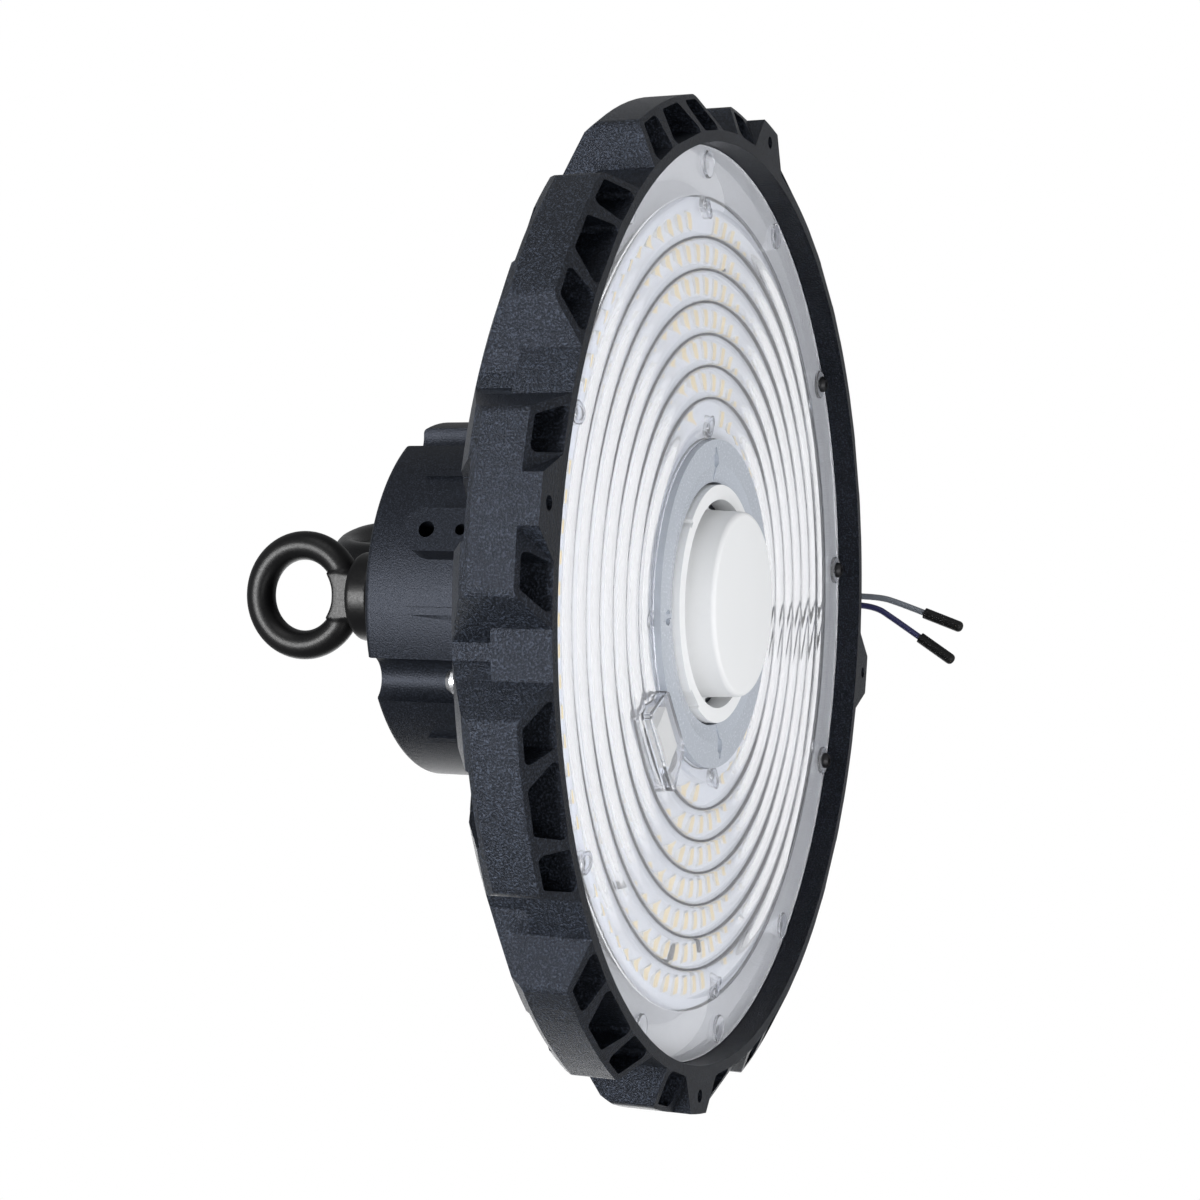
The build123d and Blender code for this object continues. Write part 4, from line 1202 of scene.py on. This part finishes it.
@dataclass(frozen=True)
class CordRoute:
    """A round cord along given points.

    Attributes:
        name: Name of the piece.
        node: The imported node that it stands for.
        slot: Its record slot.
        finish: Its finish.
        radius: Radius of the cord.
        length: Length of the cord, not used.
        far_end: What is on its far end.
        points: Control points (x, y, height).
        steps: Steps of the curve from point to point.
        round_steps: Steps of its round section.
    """

    name: str
    node: str
    slot: str
    finish: Finish
    radius: float
    length: float
    far_end: str
    points: tuple[Point, ...]
    steps: int = 12
    round_steps: int = 6

    def curve(self) -> bpy.types.Object:
        """Make the cord as a round NURBS curve, which its control points pull into shape.

        Returns:
            The curve object.
        """
        data = bpy.data.curves.new(self.name, "CURVE")
        data.dimensions = "3D"
        data.resolution_u = self.steps
        data.bevel_depth = self.radius * MM
        data.bevel_resolution = self.round_steps
        data.use_fill_caps = True
        spline = data.splines.new("NURBS")
        spline.points.add(len(self.points) - 1)
        for point, target in zip(self.points, spline.points):
            target.co = (*place(*point), 1.0)
        spline.order_u = 3
        spline.use_endpoint_u = True
        data.materials.append(self.finish.material())
        return link(data, self.name)

    def declare(self, piece: bpy.types.Object, on_it: Sequence[bpy.types.Object] = ()) -> None:
        """Args:
            piece: Not used.
            on_it: Not used.
        """


CABLE = CordRoute("cable", "supply_cable", "cable_black", SHEATH, 4.5, 253.0, "bare", (
    (13.9887, 29.9988, 137.8),
    (13.9887, 29.9988, 152.0),
    (17.0, 42.0, 163.0),
    (22.5, 64.0, 163.5),
    (25.0, 98.0, 150.0),
    (22.0, 134.0, 124.0),
    (12.0, 160.0, 84.0),
    (1.0, 175.0, 44.0),
    (1.0, 175.0, 12.0),
))
GREY_LEAD = CordRoute("grey_lead", "grey_wire", "wire_grey", GREY_PVC, 1.2, 30.1, "fitting", (
    (2.6, 175.0, 12.0),
    (2.6, 175.0, 1.0),
    (0.2, 175.3, -7.3),
    (-3.4, 175.0, -17.3),
))
PURPLE_LEAD = CordRoute("purple_lead", "purple_wire", "wire_purple", PURPLE_PVC, 1.2, 30.8, "fitting", (
    (-0.8, 175.0, 12.0),
    (-0.8, 175.0, 3.0),
    (-6.0, 174.7, -5.4),
    (-12.8, 175.0, -15.6),
))


@dataclass
class Cabling(Assembly):
    """Supply cable, control wires, end caps and the gland."""

    def cap(self, name: str, near: CordRoute, other: CordRoute) -> bpy.types.Object:
        """Part one wire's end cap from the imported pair.

        Args:
            name: Name of the piece.
            near: Route of the wire that the cap is on.
            other: Route of the other wire.

        Returns:
            The cap.
        """
        here = place(*near.points[-1])
        there = place(*other.points[-1])
        made = self.parted("wire_caps", name, SHRINK_CAP,
                           lambda spot: (spot - here).length <= (spot - there).length)
        return self.keep(made, "cap_black", "wire_caps")

    def build(self) -> None:
        routes = (CABLE, GREY_LEAD, PURPLE_LEAD)
        cords = [self.keep(route.curve(), route.slot, route.node) for route in routes]
        caps = ((), (self.cap("grey_cap", GREY_LEAD, PURPLE_LEAD),),
                (self.cap("purple_cap", PURPLE_LEAD, GREY_LEAD),))
        for route, cord, on_it in zip(routes, cords, caps):
            route.declare(cord, on_it)
        self.paint(GLAND_NYLON, "gland_body", "gland_cap", "gland_nut")
        self.paint(SLEEVE_RUBBER, "gland_sleeve")


@dataclass
class Fasteners(Assembly):
    """Screws of the lens cover and of the LED board."""

    def build(self) -> None:
        """Make the cover's screws that show, and paint the board's."""
        screws = self.parted("lens_screws", "cover_screws", BLACK_STEEL,
                             lambda spot: SCREW_GROUPS.hold(math.degrees(math.atan2(spot.y, spot.x))))
        self.keep(screws, "screw_black", "lens_screws")
        self.paint(BRIGHT_STEEL, "board_screws")


@dataclass(frozen=True)
class Lamp:
    """A square soft box that is aimed at the light.

    Attributes:
        name: Its name.
        spot: Where it stands, in the frame's millimetres.
        size: Its side in metres.
        power: Its power in watts.
    """

    name: str
    spot: Point
    size: float
    power: float

    def build(self, aim: Vector) -> None:
        """Set up the lamp.

        Args:
            aim: The point in metres that it is aimed at.
        """
        data = bpy.data.lights.new(self.name, "AREA")
        data.shape = "SQUARE"
        data.size = self.size
        data.energy = self.power
        here = Vector(self.spot) * MM
        turn = (aim - here).to_track_quat("-Z", "Y").to_matrix().to_4x4()
        link(data, self.name).matrix_world = Matrix.Translation(here) @ turn


@dataclass(frozen=True)
class Studio:
    """Camera, lamps, floor and world.

    Attributes:
        spot: Where the camera stands, in the frame's millimetres.
        forward: The direction that it looks in.
        up: The direction that is up in its picture, close to the frame's X.
        lens: Its focal length, on a sensor as wide as the next value.
        sensor: Width of the sensor.
        aim_height: Height of the point that the lamps are aimed at.
        lamps: The lamps.
        fill: Strength of the world's light on the object.
        fill_colour: sRGB hex of that light.
        mirrored: Share of the white background that glossy rays see.
        floor_level: The floor's Z in the frame's millimetres.
        floor_half: Half the floor's side in metres.
        floor_colour: sRGB hex of the floor.
    """

    spot: Point = (5.74, -686.99, -386.63)
    forward: Point = (-0.007173, 0.926949, 0.375119)
    up: Point = (0.999817, 0.0, 0.019118)
    lens: float = 68.771
    sensor: float = 36.0
    aim_height: float = 40.0
    lamps: tuple[Lamp, ...] = (
        Lamp("key", (-60.0, -1150.0, 430.0), 0.6, 40.0),
        Lamp("top", (1000.0, -750.0, 60.0), 0.7, 4.0),
        Lamp("fill", (-400.0, -900.0, -1000.0), 1.0, 10.0),
        Lamp("back", (-600.0, 900.0, 350.0), 0.9, 5.0),
    )
    fill: float = 0.32
    fill_colour: str = "f2f4f7"
    mirrored: float = 0.12
    floor_level: float = -1400.0
    floor_half: float = 6.0
    floor_colour: str = "f4f4f4"

    def camera(self) -> None:
        """Put the camera where the photograph was taken from, rolled so that the light lies on its side."""
        data = bpy.data.cameras.new("camera")
        data.lens = self.lens
        data.sensor_width = self.sensor
        data.clip_start = 0.01
        data.clip_end = 50.0
        made = link(data, "camera")
        back = -Vector(self.forward).normalized()
        right = Vector(self.up).normalized().cross(back).normalized()
        turn = Matrix((right, back.cross(right), back)).transposed()
        made.matrix_world = Matrix.Translation(Vector(self.spot) * MM) @ turn.to_4x4()
        bpy.context.scene.camera = made

    def backed(self, tree: bpy.types.NodeTree, lit: bpy.types.NodeSocket, white: bpy.types.NodeSocket,
               output: str) -> None:
        """Show white to camera and transmission rays, in part to glossy ones, and else the lit shader.

        Args:
            tree: The node tree.
            lit: Output of the lit shader.
            white: Output of the white one.
            output: Name of the tree's output node.
        """
        ray = add_node(tree, "ShaderNodeLightPath")
        seen = add_node(tree, "ShaderNodeMath", {"operation": "MAXIMUM"}, {
            0: ray.outputs["Is Camera Ray"], 1: ray.outputs["Is Transmission Ray"]})
        glossy = add_node(tree, "ShaderNodeMath", {"operation": "MULTIPLY"}, {
            0: ray.outputs["Is Glossy Ray"], 1: self.mirrored})
        share = add_node(tree, "ShaderNodeMath", {"operation": "MAXIMUM"}, {
            0: seen.outputs[0], 1: glossy.outputs[0]})
        mix = add_node(tree, "ShaderNodeMixShader", {}, {0: share.outputs[0], 1: lit, 2: white})
        tree.links.new(mix.outputs[0], tree.nodes[output].inputs["Surface"])

    def world(self) -> None:
        """Set up the white background with an even, weaker fill light."""
        world = bpy.data.worlds.new("studio")
        bpy.context.scene.world = world
        world.use_nodes = True
        tree = world.node_tree
        lit = tree.nodes["Background"]
        lit.inputs["Color"].default_value = linear(self.fill_colour)
        lit.inputs["Strength"].default_value = self.fill
        white = add_node(tree, "ShaderNodeBackground", {}, {"Color": linear("ffffff"), "Strength": 1.0})
        self.backed(tree, lit.outputs[0], white.outputs[0], "World Output")

    def floor(self) -> None:
        """Lay a plain pale floor well below the light."""
        work = bmesh.new()
        bmesh.ops.create_grid(work, x_segments=1, y_segments=1, size=self.floor_half)
        bmesh.ops.translate(work, vec=(0, 0, self.floor_level * MM), verts=work.verts)
        mesh = closed(work, "floor")
        made, tree, shader = new_material("white_floor")
        shader.inputs["Base Color"].default_value = linear(self.floor_colour)
        shader.inputs["Roughness"].default_value = 0.8
        white = add_node(tree, "ShaderNodeEmission", {}, {"Color": linear("ffffff"), "Strength": 1.0})
        self.backed(tree, shader.outputs[0], white.outputs[0], "Material Output")
        mesh.materials.append(made)
        link(mesh, "floor")

    def build(self) -> None:
        """Set up the whole studio."""
        self.camera()
        for lamp in self.lamps:
            lamp.build(place(0, 0, self.aim_height))
        self.world()
        self.floor()
        bpy.context.scene.view_settings.view_transform = "Standard"


def main() -> None:
    """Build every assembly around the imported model."""
    logging.basicConfig(level=logging.INFO, format="%(name)s: %(message)s")
    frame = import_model()
    Studio().build()
    for assembly in (Cabling, Casting, LensCover, LedBoard, Sensor, Driver, Hanging, Fasteners):
        log.info("building %s", assembly.__name__)
        assembly(frame["nodes"]).build()


if __name__ == "__main__":
    main()
